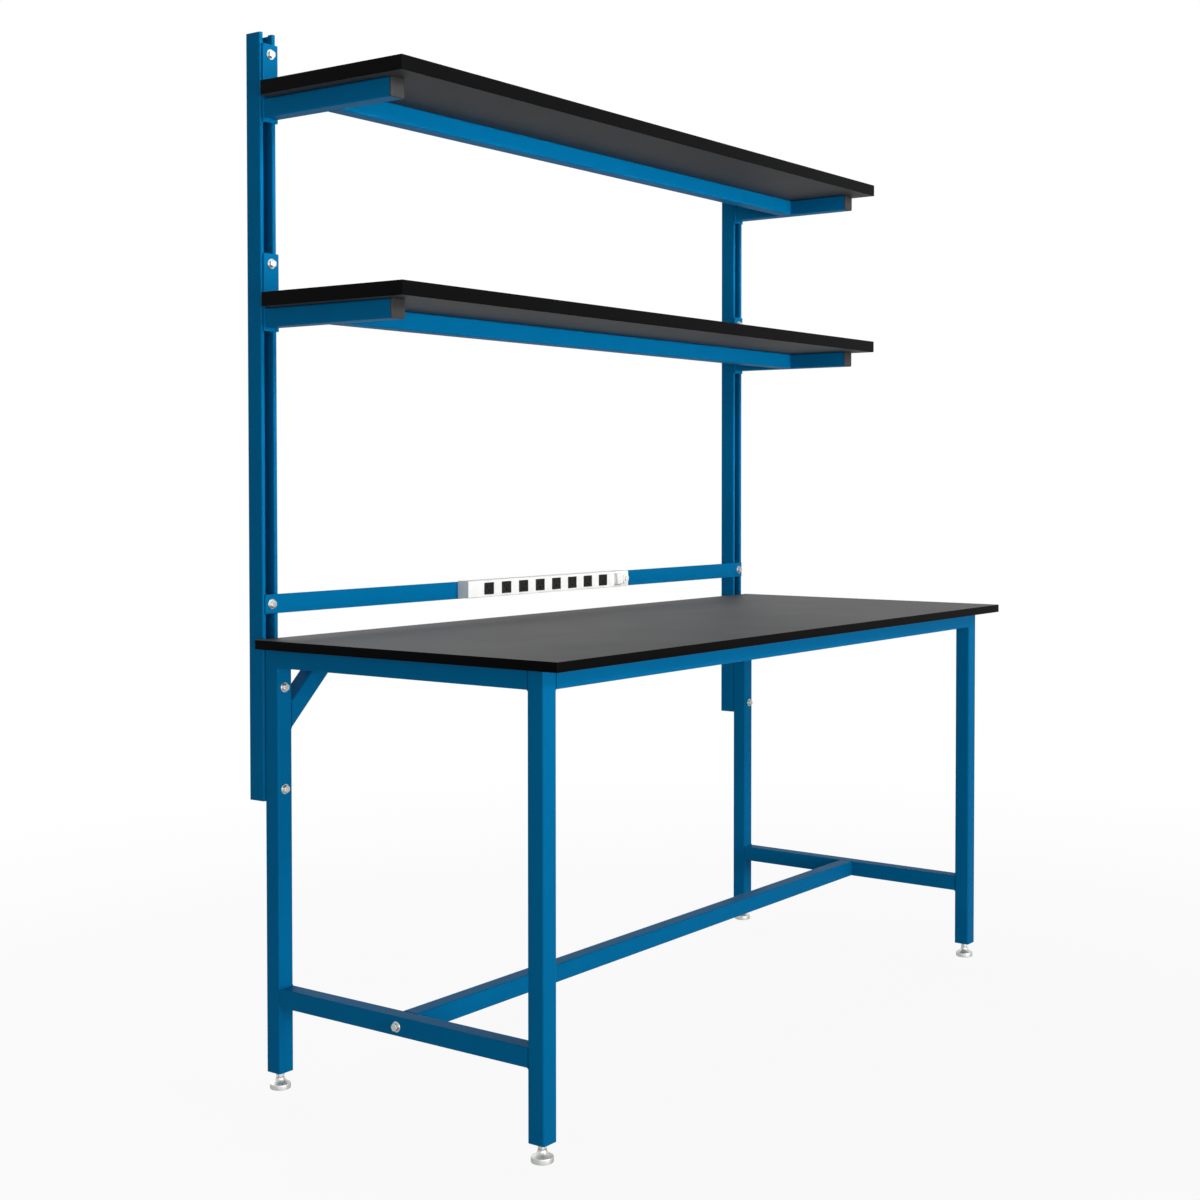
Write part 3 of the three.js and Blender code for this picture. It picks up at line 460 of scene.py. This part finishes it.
class BENCH_OT_frame(bpy.types.Operator):
    """Legs, rails, stretcher and corner braces of the welded frame"""

    bl_idname = "bench.frame"
    bl_label = "Bench frame"

    def execute(self, context):
        for end in ENDS:
            for side in SIDES:
                self.add_rail(f"leg_{end}_{side}", "z")
        for side in SIDES:
            self.add_rail(f"side_top_rail_{side}", "y", welds=("bottom",))
            self.add_rail(f"side_lower_rail_{side}", "y", welds=("bottom", "top"))
            self.add_brace(f"corner_brace_{side}", -1 if side == "left" else 1)
        for end in ENDS:
            self.add_rail(f"{end}_top_rail", "x", welds=("bottom",))
        self.add_rail("centre_stretcher", "x")
        return {"FINISHED"}

    @staticmethod
    def add_rail(node, axis, welds=()):
        """Tube, with a weld bead across the named faces at both ends."""
        low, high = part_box(node)
        radius = sizes().tube_radius
        bm = bmesh.new()
        add_tube(bm, low, high, axis, radius)
        index = "xyz".index(axis)
        inset = AXES["x" if axis == "y" else "y"] * radius
        for weld in welds:
            for end in (low, high):
                start, stop = low.copy(), high.copy()
                start[index] = stop[index] = end[index]
                start.z = stop.z = low.z if weld == "bottom" else high.z
                add_weld(bm, start + inset, stop - inset)
        add_piece(bm, node, "blue_powder_coat")

    @staticmethod
    def add_brace(node, sign):
        """Tube at 45 degrees, mitred to the leg and the rear rail."""
        low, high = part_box(node)
        width = sizes().brace_width * math.sqrt(2)  # along the leg and the rail
        corner_x = low.x if sign < 0 else high.x
        far_x = high.x if sign < 0 else low.x
        near_x = far_x + sign * width
        outline = ((corner_x, low.z), (corner_x, low.z + width), (near_x, high.z), (far_x, high.z))
        bm = bmesh.new()
        add_prism(bm, [(x, low.y, z) for x, z in outline], (0, high.y - low.y, 0))
        slope = Vector((near_x - corner_x, 0, high.z - low.z - width)).normalized()
        bevel(bm, along(bm.edges, slope), sizes().tube_radius, sizes().bend_steps)
        inset = Vector((0, sizes().tube_radius, 0))
        for x, z in outline:
            add_weld(bm, Vector((x, low.y, z)) + inset, Vector((x, high.y, z)) - inset)
        add_piece(bm, node, "blue_powder_coat")


class BENCH_OT_boards(bpy.types.Operator):
    """Worktop and shelf boards, with their edge bands, and the worktop's screws"""

    bl_idname = "bench.boards"
    bl_label = "Worktop and shelf boards"

    FACE, EDGE = 0, 1  # places of a board's two materials

    def execute(self, context):
        for node in ("worktop", *(f"{level}_shelf_panel" for level in LEVELS)):
            low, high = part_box(node)
            bm = bmesh.new()
            add_eased_box(bm, low, high, sizes().board_ease)
            for face in bm.faces:
                face.normal_update()
                face.material_index = self.FACE if abs(face.normal.z) > 0.9 else self.EDGE
            add_piece(bm, node, "black_laminate", "black_edge_band")
        for end in ENDS:
            for side in SIDES:
                self.add_screw(f"worktop_screw_{end}_{side}")
        return {"FINISHED"}

    @staticmethod
    def add_screw(node):
        """Pan-head screw up through the side rail."""
        low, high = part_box(node)
        radius, length = (high.x - low.x) / 2, high.z - low.z
        shank = 3 * MM
        head = 2.4 * MM
        ease = 0.7 * MM
        profile = ((0, 0), (radius - 2 * ease, 0), (radius - ease / 2, ease), (radius, 2 * ease),
                   (radius, head), (shank, head), (shank, length), (0, length))
        bm = bmesh.new()
        add_turned(bm, profile, AXES["z"], ((low.x + high.x) / 2, (low.y + high.y) / 2, low.z))
        add_piece(bm, node, "zinc_fastener")


class BENCH_OT_feet(bpy.types.Operator):
    """Levelling feet: turned pads and threaded stems"""

    bl_idname = "bench.feet"
    bl_label = "Levelling feet"

    def execute(self, context):
        for end in ENDS:
            for side in SIDES:
                self.add_pad(f"foot_pad_{end}_{side}")
                self.add_stem(f"foot_stem_{end}_{side}")
        return {"FINISHED"}

    @staticmethod
    def add_pad(node):
        """Thick disc with rounded rims, flared up to a narrow top."""
        low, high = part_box(node)
        rim, height = (high.x - low.x) / 2, high.z - low.z
        top, boss = sizes().pad_rim, sizes().pad_boss
        ease = 1.6 * MM
        bend = ease * (1 - math.sqrt(0.5))
        profile = [(0, 0), (rim - ease, 0), (rim - bend, bend), (rim, ease), (rim, top - ease),
                   (rim - bend, top - bend)]
        steps, sweep = 10, 2.4  # facets of the flare and how hollow it is
        for step in range(steps + 1):
            share = step / steps
            profile.append((boss + (rim - ease - boss) * (1 - share) ** sweep,
                            top + (height - top) * share))
        profile.append((0, height))
        bm = bmesh.new()
        add_turned(bm, profile, AXES["z"], ((low.x + high.x) / 2, (low.y + high.y) / 2, low.z))
        add_piece(bm, node, "zinc_foot")

    @staticmethod
    def add_stem(node):
        """Neck, hexagon for a spanner, and a cut thread with a chamfered end."""
        low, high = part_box(node)
        size = sizes()
        pitch = size.thread_pitch
        gap = 0.3 * MM  # under the leg
        hex_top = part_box(node.replace("foot_stem", "leg"))[0].z - low.z - gap
        hex_bottom = hex_top - size.stem_hex_height
        length = high.z - low.z
        depth = 0.6 * pitch
        root = size.thread_radius - depth
        profile = [(0, 0), (size.stem_neck, 0), (size.stem_neck, hex_top)]
        for turn in range(int((length - hex_top) / pitch)):
            height = hex_top + turn * pitch
            profile.append((root, height + 0.1 * pitch))
            profile.append((size.thread_radius, height + 0.5 * pitch))
        profile += [(root, length), (0, length)]
        origin = ((low.x + high.x) / 2, (low.y + high.y) / 2, low.z)
        bm = bmesh.new()
        add_turned(bm, profile, AXES["z"], origin)
        add_hexagon(bm, size.stem_flats, hex_bottom, hex_top, AXES["z"], origin, ease=0.6 * MM)
        add_piece(bm, node, "zinc_foot")


class BENCH_OT_uprights(bpy.types.Operator):
    """Roll-formed channel uprights with lips curled back beside the front slot"""

    bl_idname = "bench.uprights"
    bl_label = "Channel uprights"

    def execute(self, context):
        for side in SIDES:
            self.add_channel(f"upright_{side}")
        return {"FINISHED"}

    @staticmethod
    def add_channel(node):
        """Section drawn from the back round to a lip, mirrored, raised and bent at its corners."""
        low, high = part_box(node)
        size = sizes()
        wall, curl = size.channel_wall, low.y + size.channel_curl
        lip = high.x - size.channel_lip
        half = [(high.x, high.y), (high.x, low.y), (lip, low.y), (lip, curl), (lip + wall, curl),
                (lip + wall, low.y + wall), (high.x - wall, low.y + wall),
                (high.x - wall, high.y - wall)]
        outline = half + [(low.x + high.x - x, y) for x, y in reversed(half)]
        bm = bmesh.new()
        add_prism(bm, [(x, y, low.z) for x, y in outline], (0, 0, high.z - low.z))
        corners = (*outline[:3], *outline[-3:])  # of the outside
        bends = [e for e in along(bm.edges, AXES["z"])
                 if any((e.verts[0].co.xy - Vector(corner)).length < TOUCH for corner in corners)]
        bevel(bm, bends, size.channel_radius, size.bend_steps)
        add_piece(bm, node, "blue_powder_coat")


class BENCH_OT_shelf_brackets(bpy.types.Operator):
    """Shelf brackets with their plugs, and the crossbars between their arms"""

    bl_idname = "bench.shelf_brackets"
    bl_label = "Shelf brackets"

    def execute(self, context):
        for level in LEVELS:
            self.add_crossbar(f"{level}_shelf_crossbar")
            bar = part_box(f"{level}_shelf_crossbar")
            for side in SIDES:
                self.add_bracket(f"{level}_shelf_bracket_{side}", bar)
                self.add_plug(f"{level}_shelf_plug_{side}")
        return {"FINISHED"}

    @staticmethod
    def add_crossbar(node):
        """Tube between the arms, welded to them at its back."""
        low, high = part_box(node)
        radius = sizes().tube_radius
        bm = bmesh.new()
        add_tube(bm, low, high, "x", radius)
        for x in (low.x, high.x):
            add_weld(bm, (x, high.y, low.z + radius), (x, high.y, high.z - radius))
        add_piece(bm, node, "blue_powder_coat")

    @staticmethod
    def add_bracket(node, crossbar):
        """Arm tube level with the crossbar, welded to an upright back plate."""
        low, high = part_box(node)
        size = sizes()
        arm_low, arm_high = crossbar[0].z, crossbar[1].z
        plate_front = high.y - size.plate_thickness
        middle, half = (low.x + high.x) / 2, (arm_high - arm_low) / 2
        bm = bmesh.new()
        add_tube(bm, (middle - half, low.y, arm_low), (middle + half, plate_front, arm_high), "y",
                 size.tube_radius)
        plate = edges_of(add_box(bm, (low.x, plate_front, low.z), high))
        plate_corner = 2 * MM
        bevel(bm, along(plate, AXES["y"]), plate_corner, size.bend_steps)
        inset = size.tube_radius
        add_weld(bm, (middle - half + inset, plate_front, arm_low),
                 (middle + half - inset, plate_front, arm_low))
        for x in (middle - half, middle + half):
            add_weld(bm, (x, plate_front, arm_low + inset), (x, plate_front, arm_high - inset))
        add_piece(bm, node, "blue_powder_coat")

    @staticmethod
    def add_plug(node):
        """Square plug with a softly crowned face and a hidden tongue."""
        low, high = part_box(node)
        size = sizes()
        face_back = low.y + size.plug_face
        crown, tube_wall = 1.2 * MM, 3 * MM
        bm = bmesh.new()
        add_tube(bm, low, (high.x, face_back, high.z), "y", size.tube_radius)
        bevel(bm, lying_at(bm.edges, "y", low.y), crown, steps=3)
        add_box(bm, (low.x + tube_wall, face_back, low.z + tube_wall),
                (high.x - tube_wall, high.y, high.z - tube_wall))
        add_piece(bm, node, "arm_plug")


class BENCH_OT_bolts(bpy.types.Operator):
    """Hexagon bolts on washers, with channel nuts behind the uprights' lips"""

    bl_idname = "bench.bolts"
    bl_label = "Bolts"

    def execute(self, context):
        for side in SIDES:
            for level in LEVELS:
                self.add_channel_bolt(f"upright_bolt_{level}_{side}", f"upright_{side}")
                self.add_channel_bolt(f"{level}_shelf_bolt_{side}", f"{level}_shelf_bracket_{side}")
            self.add_channel_bolt(f"power_rail_bolt_{side}", f"upright_{side}")
            self.add_stretcher_bolt(f"stretcher_bolt_{side}", 1 if side == "left" else -1)
        return {"FINISHED"}

    @staticmethod
    def add_bolt(bm, axis, head_end, length):
        """Head, washer and shank along the axis, from the head's outer face."""
        size = sizes()
        seat = size.head_height + size.washer_thickness
        ease = 0.5 * MM
        washer, shank, head = size.washer_radius, size.shank_radius, size.head_height
        neck = 0.94 * size.head_flats / 2  # just inside the flats
        profile = ((0, head - ease), (neck, head - ease), (neck, head), (washer - ease, head),
                   (washer, head + ease), (washer, seat - ease), (washer - ease, seat),
                   (shank, seat), (shank, length), (0, length))
        add_turned(bm, profile, axis, head_end)
        overlap, chamfer = 0.2 * ease, 0.9 * MM
        add_hexagon(bm, size.head_flats, 0, head - ease + overlap, axis, head_end, chamfer)

    @classmethod
    def add_channel_bolt(cls, node, centred_on):
        """Bolt on the middle line of another node, with its nut in the channel."""
        low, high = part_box(node)
        middle_x = sum(corner.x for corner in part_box(centred_on)) / 2
        bm = bmesh.new()
        cls.add_bolt(bm, AXES["y"], (middle_x, low.y, (low.z + high.z) / 2), high.y - low.y)
        shank_end = 0.5 * MM
        nut_rear = high.y - shank_end
        nut_front = nut_rear - sizes().nut_thickness
        add_eased_box(bm, (low.x, nut_front, low.z), (high.x, nut_rear, high.z), ease=0.8 * MM,
                      steps=2)
        add_piece(bm, node, "zinc_fastener")

    @classmethod
    def add_stretcher_bolt(cls, node, sign):
        """Bolt through a side rail into the stretcher, towards +X or -X as the sign says."""
        low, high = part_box(node)
        middle = (low + high) / 2
        head_x = low.x if sign > 0 else high.x
        bm = bmesh.new()
        cls.add_bolt(bm, sign * AXES["x"], (head_x, middle.y, middle.z), high.x - low.x)
        add_piece(bm, node, "zinc_fastener")


class BENCH_OT_power_rail(bpy.types.Operator):
    """Flat bar across the uprights that carries the power strip"""

    bl_idname = "bench.power_rail"
    bl_label = "Power rail"

    def execute(self, context):
        low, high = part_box("power_rail")
        bm = bmesh.new()
        add_eased_box(bm, low, high, ease=0.8 * MM)
        add_piece(bm, "power_rail", "blue_powder_coat")
        return {"FINISHED"}


class BENCH_OT_power_strip(bpy.types.Operator):
    """Power strip: housing with its windows, sockets, rocker, button, end caps and cord bush"""

    bl_idname = "bench.power_strip"
    bl_label = "Power strip"

    def execute(self, context):
        self.add_housing()
        self.add_sockets()
        self.add_rocker()
        self.add_button()
        for side in SIDES:
            self.add_cap(f"strip_end_cap_{side}")
        self.add_inlet()
        return {"FINISHED"}

    @staticmethod
    def outlet_places():
        """X of each socket's middle, from the sockets' own box."""
        low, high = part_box("outlet_bar")
        size = sizes()
        first = low.x + size.strip_wall + size.outlet_width / 2
        last = high.x - size.strip_wall - size.outlet_width / 2
        count = round((last - first) / size.outlet_pitch) + 1
        return [first + index * size.outlet_pitch for index in range(count)]

    @staticmethod
    def front_face():
        """Y of the housing's flat front, behind the button's ring."""
        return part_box("strip_housing")[0].y + sizes().button_ring_proud

    @classmethod
    def add_housing(cls):
        """Painted box with a pocket for each socket, the rocker and the button, and its collar."""
        low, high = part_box("strip_housing")
        size = sizes()
        front = cls.front_face()
        middle_z = (low.z + high.z) / 2
        bm = bmesh.new()
        add_tube(bm, (low.x, front, low.z), high, "x", size.strip_radius)
        play = 0.3 * MM
        socket_depth, rocker_depth, button_depth = 10 * MM, 20 * MM, 16 * MM
        half_width, half_height = size.outlet_width / 2 + play, size.outlet_height / 2 + play
        windows = [(x - half_width, x + half_width, half_height, socket_depth)
                   for x in cls.outlet_places()]
        rocker_low, rocker_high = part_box("rocker_switch")
        swing = abs(size.rocker_tilt)
        reach = size.rocker_height / 2 / math.cos(swing) + size.rocker_pivot * math.tan(swing)
        windows.append((rocker_low.x - play, rocker_high.x + play, reach + play, rocker_depth))
        button_low, button_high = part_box("reset_button")
        button_half = (button_high.z - button_low.z) / 2 + play
        windows.append((button_low.x - play, button_high.x + play, button_half, button_depth))
        for left, right, half, depth in windows:
            cls.cut_window(bm, front, left, right, middle_z - half, middle_z + half, depth)
        ring_x = (button_low.x + button_high.x) / 2
        ring, bore, proud = size.button_ring, button_half, size.button_ring_proud
        ease, root = 0.5 * MM, -1 * MM
        profile = ((bore, root), (bore, proud - ease), (bore + ease, proud),
                   (ring - ease, proud), (ring, proud - ease), (ring, root), (bore, root))
        add_turned(bm, profile, -AXES["y"], (ring_x, front, middle_z))
        add_piece(bm, "strip_housing", "white_housing")

    @staticmethod
    def cut_window(bm, front, left, right, bottom, top, depth):
        """Pocket in the front face between those edges."""
        def on_front(face):
            return abs(face.calc_center_median().y - front) < TOUCH

        for point, normal in (((left, 0, 0), AXES["x"]), ((right, 0, 0), AXES["x"]),
                              ((0, 0, bottom), AXES["z"]), ((0, 0, top), AXES["z"])):
            near = [f for f in bm.faces if on_front(f)
                    and min(v.co.x for v in f.verts) < right
                    and max(v.co.x for v in f.verts) > left]
            cut = list({item for f in near for item in (f, *f.edges, *f.verts)})
            bmesh.ops.bisect_plane(bm, geom=cut, plane_co=point, plane_no=normal,
                                   dist=TOUCH / 100)
        inside = [f for f in bm.faces if on_front(f)
                  and left < f.calc_center_median().x < right
                  and bottom < f.calc_center_median().z < top]
        sunk = bmesh.ops.extrude_face_region(bm, geom=inside)["geom"]
        bmesh.ops.delete(bm, geom=inside, context="FACES")
        verts = [item for item in sunk if isinstance(item, bmesh.types.BMVert)]
        bmesh.ops.translate(bm, verts=verts, vec=(0, depth, 0))

    @classmethod
    def add_sockets(cls):
        """Socket faces with a recessed field and three contact slots each."""
        low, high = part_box("outlet_bar")
        size = sizes()
        middle_z = (low.z + high.z) / 2
        front = cls.front_face() - size.outlet_proud
        thickness, margin, step, slot_depth = 8 * MM, 3 * MM, 0.6 * MM, 5 * MM
        # Two blades and a pin: place from the socket's middle, half width and half height, in mm.
        slots = ((-6.4, 3.2, 1.0, 4.0), (6.4, 3.2, 1.0, 4.0), (0.0, -5.2, 2.3, 2.3))
        corner = Vector((size.outlet_width / 2, 0, size.outlet_height / 2))
        back = thickness * AXES["y"]
        bm = bmesh.new()
        for x in cls.outlet_places():
            centre = Vector((x, front, middle_z))
            verts = add_box(bm, centre - corner, centre + corner + back)
            faces = {f for v in verts for f in v.link_faces}
            face = next(f for f in faces if abs(f.calc_center_median().y - front) < TOUCH)
            bmesh.ops.inset_region(bm, faces=[face], thickness=margin, depth=0)
            bmesh.ops.inset_region(bm, faces=[face], thickness=step, depth=-step)
            field = face.calc_center_median().y
            for dx, dz, half_x, half_z in slots:
                cls.cut_window(bm, field, x + (dx - half_x) * MM, x + (dx + half_x) * MM,
                               middle_z + (dz - half_z) * MM, middle_z + (dz + half_z) * MM,
                               slot_depth)
        add_piece(bm, "outlet_bar", "black_plastic")

    @classmethod
    def add_rocker(cls):
        """Block rocker with rounded front corners, resting pressed in at the top."""
        low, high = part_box("rocker_switch")
        size = sizes()
        half = size.rocker_height / 2
        housing_low, housing_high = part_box("strip_housing")
        pivot = (0, cls.front_face() + size.rocker_pivot, (housing_low.z + housing_high.z) / 2)
        bm = bmesh.new()
        add_box(bm, (low.x, -size.rocker_front, -half), (high.x, size.rocker_back, half))
        front = along(lying_at(bm.edges, "y", -size.rocker_front), AXES["x"])
        bevel(bm, front, size.rocker_radius, steps=8)
        rims = lying_at(bm.edges, "x", low.x) + lying_at(bm.edges, "x", high.x)
        rim_ease = 0.8 * MM
        bevel(bm, rims, rim_ease, steps=3)
        tilt = Matrix.Rotation(size.rocker_tilt, 4, "X")
        bmesh.ops.transform(bm, matrix=Matrix.Translation(pivot) @ tilt, verts=bm.verts)
        add_piece(bm, "rocker_switch", "white_plastic")

    @staticmethod
    def add_button():
        """Round button with a dished face and a rounded rim."""
        low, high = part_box("reset_button")
        radius, length = (high.x - low.x) / 2, high.y - low.y
        ease = 1 * MM
        profile = ((0, 0), (radius, 0), (radius, length - ease),
                   (radius - 0.3 * ease, length - 0.3 * ease), (radius - ease, length),
                   (radius - 2 * ease, length), (radius / 3, length - 0.4 * ease),
                   (0, length - 0.5 * ease))
        bm = bmesh.new()
        add_turned(bm, profile, -AXES["y"], ((low.x + high.x) / 2, high.y, (low.z + high.z) / 2))
        add_piece(bm, "reset_button", "white_plastic")

    @staticmethod
    def add_cap(node):
        """End cap with the housing's corners and an eased outer rim."""
        low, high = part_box(node)
        rim_ease = 0.6 * MM
        outer = low.x if high.x < 0 else high.x
        bm = bmesh.new()
        add_tube(bm, low, high, "x", sizes().strip_radius)
        bevel(bm, lying_at(bm.edges, "x", outer), rim_ease, steps=3)
        add_piece(bm, node, "white_plastic")

    @staticmethod
    def add_inlet():
        """Cord bush with a flange and a blind bore."""
        low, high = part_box("cord_inlet")
        flange = (high.z - low.z) / 2
        cap_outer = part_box("strip_end_cap_right")[1].x
        body, bore, proud = 7 * MM, 4.5 * MM, high.x - cap_outer
        bottom, step, back = proud - 5 * MM, proud / 2, 0.2 * MM
        ease, body_ease = 0.6 * MM, 0.8 * MM
        profile = ((0, bottom), (bore, bottom), (bore, proud - ease), (bore + ease, proud),
                   (body - body_ease, proud), (body, proud - body_ease), (body, step),
                   (flange - ease, step), (flange, step - ease), (flange, back), (0, back))
        bm = bmesh.new()
        add_turned(bm, profile, AXES["x"], (cap_outer, (low.y + high.y) / 2, (low.z + high.z) / 2))
        add_piece(bm, "cord_inlet", "black_plastic")


class BENCH_OT_stage(bpy.types.Operator):
    """Pale floor, soft studio light, white world and the photograph's camera"""

    bl_idname = "bench.stage"
    bl_label = "Stage"

    def execute(self, context):
        self.add_floor()
        self.add_world()
        worktop, top_shelf, shelves = (0, 0, 0.95), (0, 0, 2.4), (0, 0.1, 2.0)
        self.add_lamp("key_light", at=(-0.8, -7.5, 0.85), aim=worktop, size=(5.0, 1.5), watts=272)
        self.add_lamp("top_light", at=(0.2, -3.4, 2.9), aim=top_shelf, size=(2.6, 1.0), watts=28,
                      spread=75)
        self.add_lamp("shelf_light", at=(0.4, -3.0, 0.35), aim=shelves, size=(2.4, 0.5), watts=4.5,
                      spread=40)
        self.add_lamp("side_light", at=(-5.0, -3.6, 1.1), aim=worktop, size=(3.0, 2.0), watts=65)
        self.add_lamp("rear_light", at=(0.8, 4.6, 2.6), aim=worktop, size=(3.0, 3.0), watts=60)
        self.add_camera()
        context.scene.view_settings.view_transform = "Standard"
        return {"FINISHED"}

    @staticmethod
    def add_floor():
        """Matt floor that glows white to the camera, less so in reflections and round the bench,
        where its paint keeps a soft shadow."""
        half_size = 60
        bm = bmesh.new()
        height = Matrix.Translation((0, 0, FLOOR_HEIGHT))
        bmesh.ops.create_grid(bm, x_segments=1, y_segments=1, size=half_size, matrix=height)
        mesh = bpy.data.meshes.new("floor")
        bm.to_mesh(mesh)
        bm.free()
        floor = bpy.data.objects.new("floor", mesh)
        bpy.context.scene.collection.objects.link(floor)
        material = bpy.data.materials.new("matt_white_floor_paint")
        material.use_nodes = True
        tree = material.node_tree
        tree.nodes.remove(tree.nodes["Principled BSDF"])
        paint = add_node(tree, "ShaderNodeBsdfDiffuse", {"Color": shade(colours().floor, 1.0)})
        glow = add_node(tree, "ShaderNodeEmission", {"Color": (1, 1, 1, 1), "Strength": 1.0})
        path = add_node(tree, "ShaderNodeLightPath")
        place = add_node(tree, "ShaderNodeTexCoord").outputs["Object"]
        distance = add_node(tree, "ShaderNodeVectorMath", {0: place}, operation="LENGTH")
        glowing = add_node(tree, "ShaderNodeMapRange", {
            "Value": distance.outputs["Value"], "From Min": 0.8, "From Max": 4.0,
            "To Min": 0.92, "To Max": 1.0}, interpolation_type="SMOOTHSTEP")
        shiny = add_node(tree, "ShaderNodeMath", {
            0: path.outputs["Is Glossy Ray"], 1: path.outputs["Is Transmission Ray"]},
            operation="MAXIMUM")
        mirrored_share = 0.4
        seen = add_node(tree, "ShaderNodeMath", {
            0: shiny.outputs["Value"], 1: mirrored_share, 2: path.outputs["Is Camera Ray"]},
            operation="MULTIPLY_ADD")
        share = add_node(tree, "ShaderNodeMath", {
            0: seen.outputs["Value"], 1: glowing.outputs["Result"]}, operation="MULTIPLY")
        mix = add_node(tree, "ShaderNodeMixShader", {
            0: share.outputs["Value"], 1: paint.outputs["BSDF"], 2: glow.outputs["Emission"]})
        tree.links.new(mix.outputs["Shader"], tree.nodes["Material Output"].inputs["Surface"])
        mesh.materials.append(material)

    @staticmethod
    def add_world():
        """White to the camera and in reflections, a plain soft grey as light."""
        world = bpy.data.worlds.new("studio")
        bpy.context.scene.world = world
        world.use_nodes = True
        tree = world.node_tree
        tree.nodes.clear()
        light = add_node(tree, "ShaderNodeBackground", {"Color": (1, 1, 1, 1), "Strength": 0.25})
        backdrop = add_node(tree, "ShaderNodeBackground", {"Color": (1, 1, 1, 1), "Strength": 1.0})
        path = add_node(tree, "ShaderNodeLightPath")
        shiny = add_node(tree, "ShaderNodeMath", {
            0: path.outputs["Is Glossy Ray"], 1: path.outputs["Is Transmission Ray"]},
            operation="MAXIMUM")
        seen = add_node(tree, "ShaderNodeMath", {
            0: path.outputs["Is Camera Ray"], 1: shiny.outputs["Value"]}, operation="MAXIMUM")
        mix = add_node(tree, "ShaderNodeMixShader", {
            0: seen.outputs["Value"], 1: light.outputs["Background"],
            2: backdrop.outputs["Background"]})
        add_node(tree, "ShaderNodeOutputWorld", {"Surface": mix.outputs["Shader"]})

    @staticmethod
    def add_lamp(name, at, aim, size, watts, spread=180):
        """Rectangular soft light that looks from one place to another."""
        data = bpy.data.lights.new(name, "AREA")
        data.shape = "RECTANGLE"
        data.size, data.size_y = size
        data.energy = watts
        data.spread = math.radians(spread)
        lamp = bpy.data.objects.new(name, data)
        lamp.location = at
        ray = Vector(aim) - Vector(at)
        lamp.rotation_euler = ray.to_track_quat("-Z", "Y").to_euler()
        bpy.context.scene.collection.objects.link(lamp)

    @staticmethod
    def add_camera():
        """Camera solved from the photograph's edges; angles in degrees."""
        dip, heading = 1.479, -54.249
        data = bpy.data.cameras.new("camera")
        data.sensor_width = 36
        data.lens = 54.03
        data.shift_x = -0.03104
        data.shift_y = -0.05973
        data.clip_end = 200
        camera = bpy.data.objects.new("camera", data)
        camera.location = (-3.3780, -2.3502, 1.2241)
        camera.rotation_euler = (math.radians(90 - dip), 0, math.radians(heading))
        bpy.context.scene.collection.objects.link(camera)
        bpy.context.scene.camera = camera


class BENCH_PT_sidebar(bpy.types.Panel):
    """Lists the bench's pieces, sizes and colours"""

    bl_label = "Lab bench"
    bl_idname = "BENCH_PT_sidebar"
    bl_space_type = "VIEW_3D"
    bl_region_type = "UI"
    bl_category = "Lab bench"

    def draw(self, context):
        for operator in OPERATORS:
            self.layout.operator(operator.bl_idname)
        for group in (context.scene.bench_sizes, context.scene.bench_colours):
            column = self.layout.column(align=True)
            for name in group.bl_rna.properties.keys():
                if name not in ("rna_type", "name"):
                    column.prop(group, name)


OPERATORS = (
    BENCH_OT_frame,
    BENCH_OT_boards,
    BENCH_OT_feet,
    BENCH_OT_uprights,
    BENCH_OT_shelf_brackets,
    BENCH_OT_bolts,
    BENCH_OT_power_rail,
    BENCH_OT_power_strip,
    BENCH_OT_stage,
)
CLASSES = (BenchSizes, BenchColours, *OPERATORS, BENCH_PT_sidebar)


def register():
    for cls in CLASSES:
        bpy.utils.register_class(cls)
    bpy.types.Scene.bench_sizes = PointerProperty(type=BenchSizes)
    bpy.types.Scene.bench_colours = PointerProperty(type=BenchColours)


def unregister():
    del bpy.types.Scene.bench_colours
    del bpy.types.Scene.bench_sizes
    for cls in reversed(CLASSES):
        bpy.utils.unregister_class(cls)


def main():
    register()
    bpy.ops.bench.frame()
    bpy.ops.bench.boards()
    bpy.ops.bench.feet()
    bpy.ops.bench.uprights()
    bpy.ops.bench.shelf_brackets()
    bpy.ops.bench.bolts()
    bpy.ops.bench.power_rail()
    bpy.ops.bench.power_strip()
    bpy.ops.bench.stage()


if __name__ == "__main__":
    main()
